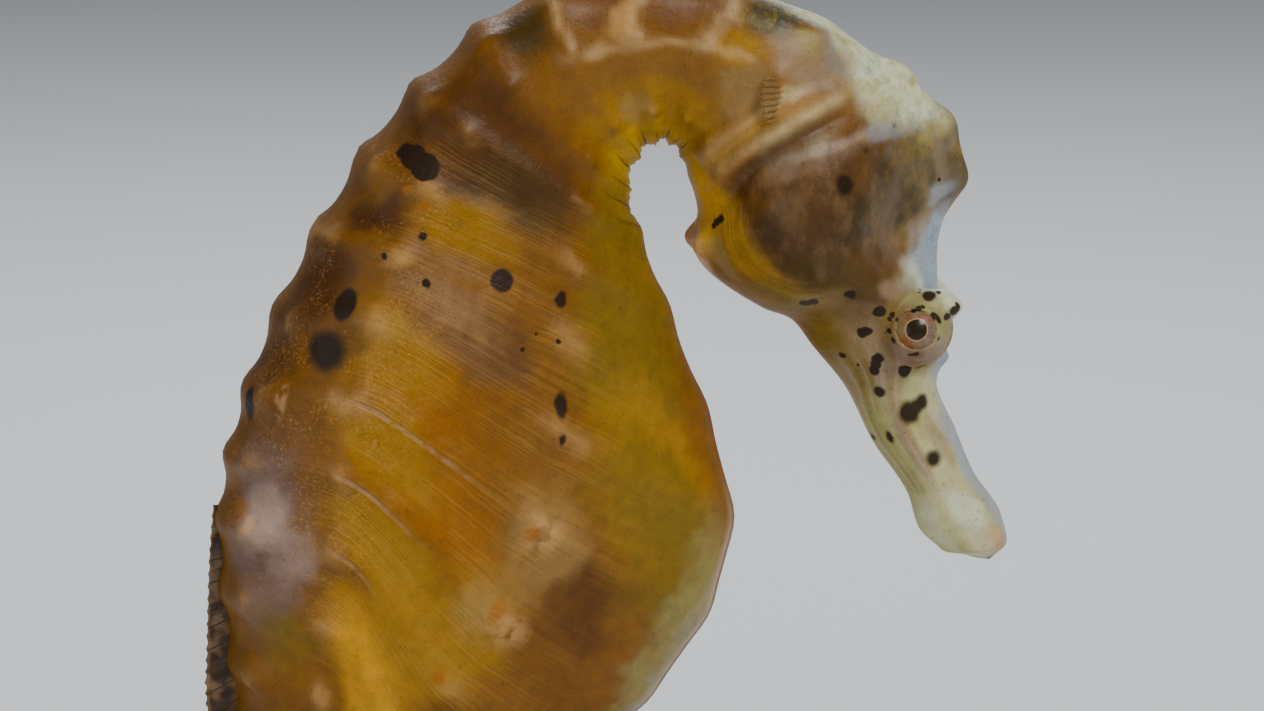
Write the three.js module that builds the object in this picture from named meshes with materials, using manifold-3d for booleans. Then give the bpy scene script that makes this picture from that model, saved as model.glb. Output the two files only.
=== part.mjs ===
// Big-bellied seahorse, adult, as a still life-size model on a display stand.
// Millimetres, +Z up. The animal faces +X, its right side is -Y, and the origin is the middle of the
// underside of the stand's base.
//
// The body is one long tube of rings. "Ring" is the running coordinate along it: -12 is the tip of the
// snout, 0 the ring behind the gill cover, 0 to 13 the trunk and 13 to 59 the tail. "Around" runs round
// a section: 0 is the middle of the back and 1 the middle of the belly, on either side.
import * as THREE from 'three';
import { mergeVertices } from 'three/addons/utils/BufferGeometryUtils.js';
import Module from 'manifold-3d';

const wasm = await Module();
wasm.setup();

// ---------------------------------------------------------------- driving sizes
const GAP = 0.3; // clear width of the cuts between neighbouring parts
const SNOUT_TIP = -12;
const GILL_EDGE = 0;
const NECK_END = 5;
const TRUNK_END = 13;
const TAIL_START = 17; // from here on the tail follows its own formula
const TAIL_TIP = 59;

const EYE = { x: 27.4, y: 3.2, z: 137.1, radius: 2.5 };
const ORBIT = { y: 2.4, reach: 2.7, radius: 3.3 };
const BROW_SPINE = { x: 29.2, y: 3.0, z: 139.1, length: 2.2, root: 1.2, tip: 0.6 };
const GILL_COVER = { x: 19.6, z: 147.0, long: 7.0, high: 7.2, inner: 3.6, lean: 0.35 };
const CORONET = { x: 32.2, z: 151.4, radii: [3.4, 4.6, 4.0] };

const BASE = { length: 92, width: 64, corner: 12, height: 9 };
// The base's moulded edge from the foot up, [inset, height]: a plain band, a step and a round shoulder.
const MOULDING = [
  [0.9, 0], [0, 0.9], [0, 4.4], [0.5, 4.95], [1.4, 5.15], [1.7, 6.8], [2.9, 8.35], [5.2, 9],
];
const BASE_CORNER_STEPS = 4;
const ROD_RADIUS = 1.5;
const BODY_ROD_X = 4.6;
const BODY_ROD_TOP = 110;
const TAIL_ROD_X = -12.2;
const TAIL_ROD_TOP = 24;

// ---------------------------------------------------------------- lines of the body
// The outline on the midline, [ring, x, z]. Past ring 16 it follows the tail's formula.
const BACK_LINE = [
  [-12, 34.4, 117.3], [-11.7, 35.4, 118.3], [-11, 35.2, 121], [-10, 32.9, 124.6], [-9, 31.3, 128.4],
  [-8, 29.8, 131.8], [-7, 30.3, 134], [-5, 29.8, 139.5], [-3, 30.2, 145.4], [-2, 31.8, 148.7],
  [-1, 30.6, 153.6], [0, 26.4, 157.4], [1, 20.6, 161.9], [2, 13, 165], [3, 5.5, 166.4], [4, -1.5, 165.2],
  [6, -12.5, 157.3], [8, -20.6, 146], [10, -26.3, 133.5], [12, -28.6, 122.8], [14, -27.8, 111],
  [16, -26.8, 101],
];
const BELLY_LINE = [
  [-12, 32.6, 117.6], [-11.7, 31, 118.1], [-11, 28.8, 119.6], [-10, 27.5, 123], [-8.5, 24.6, 127.4],
  [-7, 22.1, 132.3], [-6, 19.7, 135.3], [-5, 17.9, 137.6], [-4, 15.4, 138.7], [-2, 10, 143.5],
  [-1, 10.3, 146.6], [0, 9.6, 149.2], [3, 6.9, 152], [4, 5.7, 151], [5, 5, 148.5], [6, 5.8, 145.3],
  [7, 8.1, 139], [8, 11, 130.6], [9, 13.1, 121.5], [10, 11.1, 113.6], [11, 6, 106.4],
  [12, -0.8, 101.4], [14, -12.2, 96.4], [16, -17, 92.2],
];
// The side ridges, [ring, share, lead]: the share of the way from back to belly, and how far the ring
// bends ahead of that straight line, towards the tail.
const SIDE_RIDGE = [
  [-12, 0.45, 0], [-10, 0.55, 0.7], [-6, 0.4, 1.4], [-2, 0.53, 1.7], [0, 0.47, 1.3], [1, 0.37, 0.6],
  [3, 0.34, 1.2], [5, 0.23, 1.3], [7, 0.18, -0.5], [9, 0.16, -3.3], [11, 0.18, -4.4], [13, 0.26, -4.2],
  [15, 0.35, -2],
];
const LOWER_RIDGE = [
  [-12, 0.77, 0], [-9, 0.85, 0.5], [-6, 0.78, 0.7], [-3, 0.87, 1], [0, 0.86, 0.6], [2, 0.8, 0],
  [4, 0.74, 0.7], [6, 0.71, 0.5], [8, 0.6, -1.5], [10, 0.59, -1.5], [12, 0.62, -0.5], [16, 0.77, -0.4],
];
// How far the upper ridge lies from the back line towards the side ridge, [ring, share].
const UPPER_RIDGE = [[-12, 0.3], [-2, 0.25], [1, 0.2]];

// Half-widths of the body at its three side ridges, [ring, half-width].
const UPPER_HALF_WIDTH = [
  [-12, 0.4], [-11.5, 1.4], [-11, 1.9], [-9, 1.5], [-7, 1.9], [-5, 2.3], [-3, 1.9], [-1, 2.4], [1, 3.2],
  [4, 3.6], [8, 4.2], [11, 4.6], [13, 4.4], [16, 3.4],
];
const SIDE_HALF_WIDTH = [
  [-12, 0.5], [-11.8, 1.4], [-11.5, 2.1], [-11, 2.5], [-10, 2.4], [-8, 2.6], [-6, 3.9], [-4, 5.8],
  [-2, 7.2], [0, 6.2], [1, 5.4], [3, 5], [6, 6.2], [9, 8.2], [11, 8.8], [13, 7.6], [14, 6.4], [16, 4.3],
];
const LOWER_HALF_WIDTH = [
  [-12, 0.4], [-11.5, 1.7], [-11, 2], [-9, 1.8], [-6, 2.6], [-4, 4.2], [-2, 4.4], [0, 3.6], [3, 3.2],
  [6, 5.2], [9, 7.8], [11, 8.2], [13, 6.4], [14, 5.2], [16, 3.5],
];

// ---------------------------------------------------------------- curves
// Smooth value through keys [t, a, b, ...], with slopes weighted by the spacing of the keys.
function along(keys, t) {
  let i = 0;
  while (i < keys.length - 2 && t > keys[i + 1][0]) i++;
  const slope = (n, k) => (keys[n + 1][k] - keys[n][k]) / (keys[n + 1][0] - keys[n][0]);
  const step = (n) => keys[n + 1][0] - keys[n][0];
  const tangent = (n, k) => {
    if (n === 0) return slope(0, k);
    if (n === keys.length - 1) return slope(n - 1, k);
    return (slope(n - 1, k) * step(n) + slope(n, k) * step(n - 1)) / (step(n) + step(n - 1));
  };
  const h = step(i);
  const s = (t - keys[i][0]) / h;
  const value = (k) =>
    (2 * s ** 3 - 3 * s ** 2 + 1) * keys[i][k] + (s ** 3 - 2 * s ** 2 + s) * h * tangent(i, k) +
    (-2 * s ** 3 + 3 * s ** 2) * keys[i + 1][k] + (s ** 3 - s ** 2) * h * tangent(i + 1, k);
  return keys[i].slice(1).map((_, k) => value(k + 1));
}

const bell = (x, width) => Math.exp(-((x / width) ** 2));
const smooth = (x) => {
  const t = Math.min(Math.max(x, 0), 1);
  return t * t * (3 - 2 * t);
};

// The tail hangs straight, then curls forward in an open spiral.
const TAIL = { x: -22.3, z: 92.4, straight: 0.27, curl: 585, curlPower: 1.3, steps: 840 };
const tailShare = (ring) => Math.min((ring - TAIL_START) / (TAIL_TIP - TAIL_START), 1);
const tailHalfDepth = (u) => 0.55 + 4.0 * (1 - u) ** 1.12;
const tailHalfWidth = (u) => 0.5 + 3.1 * (1 - u) ** 1.1;
const tailHeading = (u) => {
  const curled = Math.max(0, (u - TAIL.straight) / (1 - TAIL.straight));
  const sway = 8 * Math.sin(Math.PI * Math.min(u / 0.5, 1));
  return THREE.MathUtils.degToRad(2 - sway + TAIL.curl * curled ** TAIL.curlPower);
};
const tailPath = [[TAIL.x, TAIL.z]];
for (let i = 0; i < TAIL.steps; i++) {
  const u = i / TAIL.steps;
  const ringLength = 1.1 + 4.1 * (1 - u) ** 1.2;
  const step = (ringLength * (TAIL_TIP - TAIL_START)) / TAIL.steps;
  const [x, z] = tailPath[i];
  tailPath.push([x + Math.sin(tailHeading(u)) * step, z - Math.cos(tailHeading(u)) * step]);
}

// A point of the tail's section: place is -1 on the back and 1 on the belly.
function tailEdge(ring, place) {
  const u = tailShare(ring);
  const step = Math.min(u * TAIL.steps, TAIL.steps - 1e-6);
  const i = Math.floor(step);
  const [x, z] = [0, 1].map((k) => tailPath[i][k] + (tailPath[i + 1][k] - tailPath[i][k]) * (step - i));
  const tilt = THREE.MathUtils.degToRad(36) * smooth((25 - ring) / 9);
  const depth = (tailHalfDepth(u) / Math.cos(tilt)) * place;
  const heading = tailHeading(u) - tilt;
  return [x + Math.cos(heading) * depth, z + Math.sin(heading) * depth];
}

// The tail's own shares and widths, and the body lines carried on into it so that they meet smoothly.
const TAIL_SHARE = { upper: 0.24, side: 0.46, lower: 0.86 };
const NARROWER = 0.8; // half-width at the upper and lower ridges, of that at the side ridge
const JOIN = [TAIL_START, TAIL_START + 1];
const joined = (list, values) => [...list, ...JOIN.map((ring) => [ring, ...values(ring)])];
const width = (ring) => tailHalfWidth(tailShare(ring));
const BODY = {
  back: joined(BACK_LINE, (ring) => tailEdge(ring, -1)),
  belly: joined(BELLY_LINE, (ring) => tailEdge(ring, 1)),
  side: joined(SIDE_RIDGE, () => [TAIL_SHARE.side, 0]),
  lower: joined(LOWER_RIDGE, () => [TAIL_SHARE.lower, 0]),
  upper: joined(UPPER_RIDGE, () => [TAIL_SHARE.upper]),
  upperWidth: joined(UPPER_HALF_WIDTH, (ring) => [NARROWER * width(ring)]),
  sideWidth: joined(SIDE_HALF_WIDTH, (ring) => [width(ring)]),
  lowerWidth: joined(LOWER_HALF_WIDTH, (ring) => [NARROWER * width(ring)]),
};

// Everything that shapes the section at a ring.
function sectionAt(ring) {
  if (ring <= JOIN[1]) {
    const at = (name) => along(BODY[name], ring);
    return {
      back: at('back'), belly: at('belly'), side: at('side'), lower: at('lower'), upper: at('upper')[0],
      widths: [at('upperWidth')[0], at('sideWidth')[0], at('lowerWidth')[0]],
    };
  }
  return {
    back: tailEdge(ring, -1), belly: tailEdge(ring, 1), side: [TAIL_SHARE.side, 0],
    lower: [TAIL_SHARE.lower, 0], upper: TAIL_SHARE.upper,
    widths: [NARROWER * width(ring), width(ring), NARROWER * width(ring)],
  };
}

// The five guide points of a section, back to belly, each [x, half-width, z].
function guides(ring) {
  const { back, belly, side, lower, upper, widths } = sectionAt(ring);
  const [cx, cz] = [belly[0] - back[0], belly[1] - back[1]];
  const chord = Math.hypot(cx, cz);
  const point = (share, lead, y) =>
    [back[0] + cx * share + (cz / chord) * lead, y, back[1] + cz * share - (cx / chord) * lead];
  return [
    point(0, 0, 0),
    point(upper * side[0], upper * side[1], widths[0]),
    point(...side, widths[1]),
    point(...lower, widths[2]),
    point(1, 0, 0),
  ];
}

// Where the guide points lie around the section.
const RIDGES = [0, 0.15, 0.36, 0.68, 1];

function smoothPoint(ring, around) {
  const g = guides(ring);
  const mirror = ([x, y, z]) => [x, -y, z];
  const keys = [
    [-RIDGES[1], ...mirror(g[1])],
    ...g.map((point, n) => [RIDGES[n], ...point]),
    [2 - RIDGES[3], ...mirror(g[3])],
  ];
  const [x, y, z] = along(keys, Math.abs(around));
  return new THREE.Vector3(x, around < 0 ? -y : y, z);
}

function outward(ring, around) {
  const d = 0.01;
  const alongBody = smoothPoint(ring + d, around).sub(smoothPoint(ring - d, around));
  const a = Math.min(Math.abs(around), 1 - d);
  const roundBody = smoothPoint(ring, a + d).sub(smoothPoint(ring, a - d));
  const n = roundBody.cross(alongBody).normalize();
  if (around < 0) n.y = -n.y;
  if (Math.abs(around) < 1e-9 || Math.abs(around) > 1 - 1e-9) n.y = 0;
  return n.normalize();
}

// Height of the surface over the smooth form: hollows between the rings, knobs where they cross ridges.
const RING_HOLLOW = [[-1, 0], [0, 0.05], [1, 0.25], [6, 0.35], [13, 0.35], [17, 0.4], [30, 0.36], [59, 0.05]];
const BACK_HOLLOW = [[-1, 0], [0, 0.1], [2, 0.35], [5, 0.6], [13, 0.6], [17, 0.45], [30, 0.36], [59, 0.05]];
const KNOB = [[-1, 0], [0, 0.2], [4, 0.3], [12, 0.4], [17, 0.5], [30, 0.42], [59, 0.08]];
const KNOB_REACH = [0.04, 0.03, 0.025]; // around the section, at the upper, side and lower ridges
const HEAD_BUMPS = [
  { ring: -1.9, around: 0.86, height: 0.9, long: 0.32, wide: 0.05 }, // corner of the throat
  { ring: -6.9, around: 0.0, height: 0.45, long: 0.25, wide: 0.08 }, // nose
  { ring: -1.95, around: 0.05, height: 0.55, long: 0.3, wide: 0.07 }, // front of the coronet
  { ring: -1.0, around: 0.05, height: 0.6, long: 0.28, wide: 0.07 }, // back of the coronet
  { ring: -0.05, around: 0.0, height: 0.9, long: 0.3, wide: 0.08 }, // nape
];
function relief(ring, around) {
  const a = Math.abs(around);
  let height = 0;
  if (ring > -0.5) {
    const onRing = (0.5 + 0.5 * Math.cos(2 * Math.PI * ring)) ** 1.5;
    const onBack = smooth((0.26 - a) / 0.12);
    const hollow = along(RING_HOLLOW, ring)[0] * (1 - onBack) + along(BACK_HOLLOW, ring)[0] * onBack;
    height -= hollow * (1 - onRing);
    const nearRidge = Math.max(...KNOB_REACH.map((reach, n) => bell(a - RIDGES[n + 1], reach)));
    height += along(KNOB, ring)[0] * nearRidge * onRing ** 2;
  }
  for (const b of HEAD_BUMPS) height += b.height * bell(ring - b.ring, b.long) * bell(a - b.around, b.wide);
  return height;
}

function skinPoint(ring, around, extra = 0) {
  return smoothPoint(ring, around).addScaledVector(outward(ring, around), relief(ring, around) + extra);
}

// ---------------------------------------------------------------- solids
const BODY_COLUMNS = [0, 0.08, 0.15, 0.2, 0.28, 0.36, 0.42, 0.52, 0.62, 0.68, 0.74, 0.86, 1];
const HEAD_COLUMNS = [0, 0.07, 0.15, 0.25, 0.36, 0.46, 0.57, 0.68, 0.78, 0.86, 0.93, 1];
const TAIL_COLUMNS = [0, 0.15, 0.36, 0.52, 0.68, 0.84, 1];

const mirrored = (columns) => [...columns.slice(1, -1).reverse().map((a) => -a), ...columns];

// Rows of points: three to a ring in the head and neck, four in the deep trunk, two in the tail.
function rowMarks(from) {
  if (from < GILL_EDGE) return [0, 0.34, 0.67];
  if (from < NECK_END) return [-0.2, 0, 0.2];
  return from < TRUNK_END ? [-0.2, 0, 0.2, 0.5] : [0, 0.5];
}
function ringsBetween(from, to) {
  const rows = [];
  const marks = rowMarks(from);
  for (let k = Math.floor(from); k <= Math.ceil(to); k++) {
    for (const m of marks) if (k + m > from + 0.1 && k + m < to - 0.1) rows.push(k + m);
  }
  return rows;
}

// A closed length of the body. Its ends stand back from the cut by half of the gap.
function bodyLength(from, to, columns, extra = 0) {
  const columnsAround = mirrored(columns);
  const n = columnsAround.length;
  const inset = (ring, a, side) => {
    const d = 0.02;
    const length = smoothPoint(ring + side * d, a).distanceTo(smoothPoint(ring, a)) / d;
    return ring + (side * GAP) / 2 / Math.max(length, 0.5);
  };
  const rows = [
    columnsAround.map((a) => skinPoint(from <= SNOUT_TIP ? from : inset(from, a, 1), a, extra)),
    ...ringsBetween(from, to).map((ring) => columnsAround.map((a) => skinPoint(ring, a, extra))),
    columnsAround.map((a) => skinPoint(to >= TAIL_TIP ? to : inset(to, a, -1), a, extra)),
  ];
  const points = rows.flat();
  const faces = [];
  for (let r = 0; r < rows.length - 1; r++) {
    for (let c = 0; c < n; c++) {
      const [p, q] = [r * n + c, r * n + ((c + 1) % n)];
      faces.push([p, q, q + n], [p, q + n, p + n]);
    }
  }
  // Ends are ladders from side to side, so that they follow a curved section.
  const back = columns.length - 2;
  const last = (rows.length - 1) * n;
  for (let k = 0; k < columns.length - 1; k++) {
    const right = back - k;
    const nextRight = (back - k - 1 + n) % n;
    const [left, nextLeft] = [back + k, back + k + 1];
    const end = (a, b, c) => {
      if (a === b || b === c || a === c) return;
      faces.push([a, c, b], [last + a, last + b, last + c]);
    };
    end(right, left, nextLeft);
    end(right, nextLeft, nextRight);
  }
  return closedMesh(points, faces);
}

function closedMesh(points, faces) {
  const geometry = new THREE.BufferGeometry();
  geometry.setAttribute('position', new THREE.Float32BufferAttribute(points.flatMap((p) => p.toArray()), 3));
  geometry.setIndex(faces.flat());
  return geometry;
}

// Geometry to solid and back, for cuts and joins.
function solid(geometry) {
  const bare = geometry.clone();
  for (const name of Object.keys(bare.attributes)) if (name !== 'position') bare.deleteAttribute(name);
  const merged = mergeVertices(bare, 1e-4);
  const mesh = new wasm.Mesh({
    numProp: 3,
    vertProperties: new Float32Array(merged.attributes.position.array),
    triVerts: new Uint32Array(merged.index.array),
  });
  return new wasm.Manifold(mesh);
}
function geometryOf(manifold) {
  const mesh = manifold.getMesh();
  const geometry = new THREE.BufferGeometry();
  geometry.setAttribute('position', new THREE.Float32BufferAttribute(mesh.vertProperties, 3));
  geometry.setIndex(Array.from(mesh.triVerts));
  return geometry;
}

function ellipsoid(center, radii, across = 20, down = 12) {
  return new THREE.SphereGeometry(1, across, down).scale(...radii).translate(...center);
}

// ---------------------------------------------------------------- the model
const model = new THREE.Group();
function add(name, geometry, colour, roughness = 0.55, metalness = 0) {
  const material = new THREE.MeshStandardMaterial({ color: colour, roughness, metalness });
  const mesh = new THREE.Mesh(geometry, material);
  mesh.name = name;
  model.add(mesh);
}
const SIDES = [['right', -1], ['left', 1]];

const FLESH = {
  snout: 0xaab093, head: 0x8a7a58, gill: 0x5d4220, coronet: 0xb4bfae, neck: 0x96703a,
  trunk: 0x8a5c14, belly: 0x8f6a10, tail: 0x7a5a22, fin: 0xb99a3a,
};

// Head: one length of the body with raised orbits and brow spines, then cut by what lies in it.
function browSpine(side) {
  const { length, root, tip } = BROW_SPINE;
  const profile = [[0, 0], [root, 0], [root * 0.8, length * 0.5], [tip, length * 0.92], [0, length]];
  const spine = new THREE.LatheGeometry(profile.map((p) => new THREE.Vector2(...p)), 10);
  const lean = new THREE.Vector3(0.9, side * 0.22, 0.3).normalize();
  spine.applyQuaternion(new THREE.Quaternion().setFromUnitVectors(new THREE.Vector3(0, 1, 0), lean));
  return spine.translate(BROW_SPINE.x, side * BROW_SPINE.y, BROW_SPINE.z);
}
function gillCutter(side, grow) {
  const { x, z, long, high, inner, lean } = GILL_COVER;
  const depth = 8;
  const cutter = new THREE.CylinderGeometry(1, 1, depth, 20);
  cutter.scale(long + grow, 1, high + grow).rotateY(lean);
  return cutter.translate(x, side * (inner - grow + depth / 2), z);
}
const eyeBall = (side, grow) => {
  const r = EYE.radius + grow;
  return ellipsoid([EYE.x, side * EYE.y, EYE.z], [r, r, r], 12, 8);
};
const coronetCutter = (grow) =>
  ellipsoid([CORONET.x, 0, CORONET.z], CORONET.radii.map((r) => r + grow), 14, 8);

const SNOUT_ROOT = -7.3;
const HEAD_END = 0.5;
const wholeHead = solid(bodyLength(SNOUT_ROOT, HEAD_END, HEAD_COLUMNS));
let head = wholeHead.subtract(solid(coronetCutter(GAP)));
add('coronet', geometryOf(wholeHead.intersect(solid(coronetCutter(0)))), FLESH.coronet);
for (const [name, side] of SIDES) {
  const orbit = ellipsoid([EYE.x, side * ORBIT.y, EYE.z], [ORBIT.radius, ORBIT.reach, ORBIT.radius], 14, 8);
  head = head.add(solid(orbit)).add(solid(browSpine(side)));
  head = head.subtract(solid(eyeBall(side, GAP))).subtract(solid(gillCutter(side, GAP)));
  add(`gill_cover_${name}`, geometryOf(wholeHead.intersect(solid(gillCutter(side, 0)))), FLESH.gill);
  add(`eye_${name}`, eyeBall(side, 0), 0x3a2c1c, 0.15);
}
add('head', geometryOf(head), FLESH.head);
add('snout', bodyLength(SNOUT_TIP, SNOUT_ROOT, HEAD_COLUMNS), FLESH.snout);

// Neck, trunk and tail: [name, first ring, last ring, columns, colour].
const LENGTHS = [
  ['neck_upper', HEAD_END, 2.5, BODY_COLUMNS, FLESH.neck],
  ['neck_lower', 2.5, 5.5, BODY_COLUMNS, FLESH.neck],
  ['trunk_upper', 5.5, 8.5, BODY_COLUMNS, FLESH.trunk],
  ['trunk_middle', 8.5, 11.5, BODY_COLUMNS, FLESH.belly],
  ['trunk_lower', 11.5, 14.5, BODY_COLUMNS, FLESH.belly],
  ['tail_root', 14.5, 19.5, TAIL_COLUMNS, FLESH.tail],
  ['tail_upper', 19.5, 26.5, TAIL_COLUMNS, FLESH.tail],
  ['tail_middle', 26.5, 33.5, TAIL_COLUMNS, FLESH.tail],
  ['tail_bend', 33.5, 39.5, TAIL_COLUMNS, FLESH.tail],
  ['tail_coil_outer', 39.5, 46.5, TAIL_COLUMNS, FLESH.tail],
  ['tail_coil_inner', 46.5, 52.5, TAIL_COLUMNS, FLESH.tail],
  ['tail_tip', 52.5, TAIL_TIP, TAIL_COLUMNS, FLESH.tail],
];
for (const [name, from, to, columns, colour] of LENGTHS) add(name, bodyLength(from, to, columns), colour);

const FIN_THICKNESS = 0.55;

// A flat blade, cut so that it clears the body by the gap.
function blade(outline, placement, from, to) {
  const shape = new THREE.Shape(outline.map(([u, v]) => new THREE.Vector2(u, v)));
  const plate = new THREE.ExtrudeGeometry(shape, { depth: FIN_THICKNESS, bevelEnabled: false });
  plate.translate(0, 0, -FIN_THICKNESS / 2).applyMatrix4(placement);
  const body = solid(bodyLength(from, to, BODY_COLUMNS, GAP));
  const volume = (piece) => piece.volume();
  const pieces = solid(plate).subtract(body).decompose();
  return geometryOf(pieces.sort((a, b) => volume(b) - volume(a))[0]);
}

// Fins on the midline stand in the plane Y = 0, with x and z as the outline's own axes.
function midlineFin(around, from, to, height, lean) {
  const steps = 12;
  const root = [];
  const edge = [];
  for (let i = 0; i <= steps; i++) {
    const ring = from + ((to - from) * i) / steps;
    const at = smoothPoint(ring, around);
    const out = outward(ring, around);
    const trail = new THREE.Vector3(out.z, 0, -out.x).multiplyScalar(around > 0.5 ? -1 : 1);
    if (trail.dot(smoothPoint(ring + 0.1, around).sub(at)) < 0) trail.negate();
    const tall = height(i / steps);
    const inside = at.clone().addScaledVector(out, -1);
    const tip = at.clone().addScaledVector(out, tall).addScaledVector(trail, lean * tall);
    root.push([inside.x, -inside.z]);
    edge.unshift([tip.x, -tip.z]);
  }
  const upright = new THREE.Matrix4().makeRotationX(-Math.PI / 2);
  return blade([...root, ...edge], upright, from - 1.2, to + 1.8);
}
const dorsalHeight = (t) => 0.2 + 2.0 * smooth(t / 0.75) * (1 - 0.75 * smooth((t - 0.78) / 0.22));
add('dorsal_fin', midlineFin(0, 11.8, 15.7, dorsalHeight, 0.7), FLESH.fin);
add('anal_fin', midlineFin(1, 13.9, 14.7, (t) => 2.6 - 0.5 * t, 0.35), FLESH.fin);

const PECTORAL = { x: 17.6, y: 5.0, z: 156.5, length: 3.6, root: 1.1, edge: 1.9, outward: 0.33, roll: -0.1 };
for (const [name, side] of SIDES) {
  const { length, root, edge } = PECTORAL;
  const outline = [[0, -root], [0, root]];
  for (let i = 0; i <= 6; i++) {
    const v = edge * (1 - i / 3);
    outline.push([length - 0.5 * (v / edge) ** 2, v]);
  }
  // u runs back along -X and away from the body, v runs up.
  const u = new THREE.Vector3(-Math.cos(PECTORAL.outward), side * Math.sin(PECTORAL.outward), 0);
  const v = new THREE.Vector3(PECTORAL.roll, 0, 1).addScaledVector(u, -PECTORAL.roll * u.x).normalize();
  const w = u.clone().cross(v).normalize();
  const placement = new THREE.Matrix4().makeBasis(u, v, w);
  placement.setPosition(PECTORAL.x, side * PECTORAL.y, PECTORAL.z);
  add(`pectoral_fin_${name}`, blade(outline, placement, -1, 3), FLESH.fin);
}

// ---------------------------------------------------------------- display stand
const WOOD = 0x3b2416;
const BRASS = 0xb08d4a;
function baseLoop(inset, height) {
  const { length, width, corner } = BASE;
  const radius = corner - inset;
  const loop = [];
  for (const [quarter, [toX, toY]] of [[1, 1], [-1, 1], [-1, -1], [1, -1]].entries()) {
    const [x, y] = [toX * (length / 2 - corner), toY * (width / 2 - corner)];
    for (let i = 0; i <= BASE_CORNER_STEPS; i++) {
      const angle = (quarter + i / BASE_CORNER_STEPS) * (Math.PI / 2);
      loop.push(new THREE.Vector3(x + radius * Math.cos(angle), y + radius * Math.sin(angle), height));
    }
  }
  return loop;
}
function standBase() {
  const loops = MOULDING.map(([inset, height]) => baseLoop(inset, height));
  const n = loops[0].length;
  const top = (loops.length - 1) * n;
  const faces = [];
  for (let i = 1; i < n - 1; i++) faces.push([0, i + 1, i], [top, top + i, top + i + 1]);
  for (let row = 0; row < top; row += n) {
    for (let i = 0; i < n; i++) {
      const [p, q] = [row + i, row + ((i + 1) % n)];
      faces.push([p, q, q + n], [p, q + n, p + n]);
    }
  }
  return closedMesh(loops.flat(), faces);
}
function standRod(x, top, radius, from, to, columns) {
  const rod = new THREE.CylinderGeometry(radius, radius, top - BASE.height, 16);
  rod.rotateX(Math.PI / 2).translate(x, 0, (top + BASE.height) / 2);
  const body = solid(bodyLength(from, to, columns, GAP));
  return geometryOf(solid(rod).subtract(body));
}
add('stand_base', standBase(), WOOD, 0.4);
add('stand_rod_body', standRod(BODY_ROD_X, BODY_ROD_TOP, ROD_RADIUS, 9, 14, BODY_COLUMNS), BRASS, 0.25, 1);
add('stand_rod_tail', standRod(TAIL_ROD_X, TAIL_ROD_TOP, ROD_RADIUS, 34, 46, TAIL_COLUMNS), BRASS, 0.25, 1);

export default model;
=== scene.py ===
# %% [markdown]
# # A big-bellied seahorse on its display stand
# This lesson dresses a plain solid model of a seahorse, at life size, so that it looks like the living
# animal. The solids are the frame: they carry the sizes, the places and the weight. Everything made here
# stands in the same frame, in metres, with +Z up and the animal facing +X. Sizes of the body are written
# in millimetres, because they are small, and MM turns them into metres.

# %% Load the frame
import math
import bmesh
import bpy
import numpy as np
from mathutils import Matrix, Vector
from mathutils.bvhtree import BVHTree


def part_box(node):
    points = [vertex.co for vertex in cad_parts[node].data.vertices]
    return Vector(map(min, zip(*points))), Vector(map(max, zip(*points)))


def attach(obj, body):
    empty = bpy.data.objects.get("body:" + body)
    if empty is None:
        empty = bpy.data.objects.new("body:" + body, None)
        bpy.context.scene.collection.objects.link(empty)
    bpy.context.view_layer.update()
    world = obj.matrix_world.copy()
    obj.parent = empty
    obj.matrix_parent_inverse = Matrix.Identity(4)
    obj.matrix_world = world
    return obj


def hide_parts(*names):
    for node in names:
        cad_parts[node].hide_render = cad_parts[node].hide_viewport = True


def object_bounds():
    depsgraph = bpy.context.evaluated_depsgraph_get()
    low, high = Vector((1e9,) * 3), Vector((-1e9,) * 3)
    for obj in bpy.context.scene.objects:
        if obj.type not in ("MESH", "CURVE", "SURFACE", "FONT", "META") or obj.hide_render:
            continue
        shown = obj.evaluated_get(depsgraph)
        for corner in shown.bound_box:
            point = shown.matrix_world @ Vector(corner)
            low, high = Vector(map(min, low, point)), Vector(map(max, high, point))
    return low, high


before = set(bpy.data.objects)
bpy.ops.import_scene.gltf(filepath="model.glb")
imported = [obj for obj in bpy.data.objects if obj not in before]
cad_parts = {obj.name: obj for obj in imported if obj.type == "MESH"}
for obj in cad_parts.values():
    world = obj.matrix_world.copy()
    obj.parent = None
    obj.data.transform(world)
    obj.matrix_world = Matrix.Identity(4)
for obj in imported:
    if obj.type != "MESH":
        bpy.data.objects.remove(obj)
solid_low, solid_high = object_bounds()
MM = 0.001
size = [round((high - low) / MM, 1) for low, high in zip(solid_low, solid_high)]
print("solid parts:", len(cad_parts), "size in mm:", size)

# %% [markdown]
# ## Camera, floor and light
# A long lens from a little behind and above the animal's right side shows the head, the neck and the deep
# trunk and lets the rest run out of view. A short lens could come closer, but it would swell whatever
# lies nearest, so the camera stands half a metre off. The floor is one pale sheet, and three large soft
# lamps stand round the model as in a small studio: one high in front, one low from the other side to open
# the shadows, and one behind that draws the pale rim along the back.

# %% Camera
CAMERA_TURN, CAMERA_RISE = math.radians(-8), math.radians(12)
CAMERA_AWAY = 0.5056
CAMERA_LENS, CAMERA_SENSOR = 180, 36
CAMERA_NEAR = 0.01
AIM = Vector((0.005, 0.0, 0.135))


def new_object(name, data):
    """Puts a mesh, a lamp or a camera into the scene as an object."""
    made = bpy.data.objects.new(name, data)
    bpy.context.collection.objects.link(made)
    return made


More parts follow.
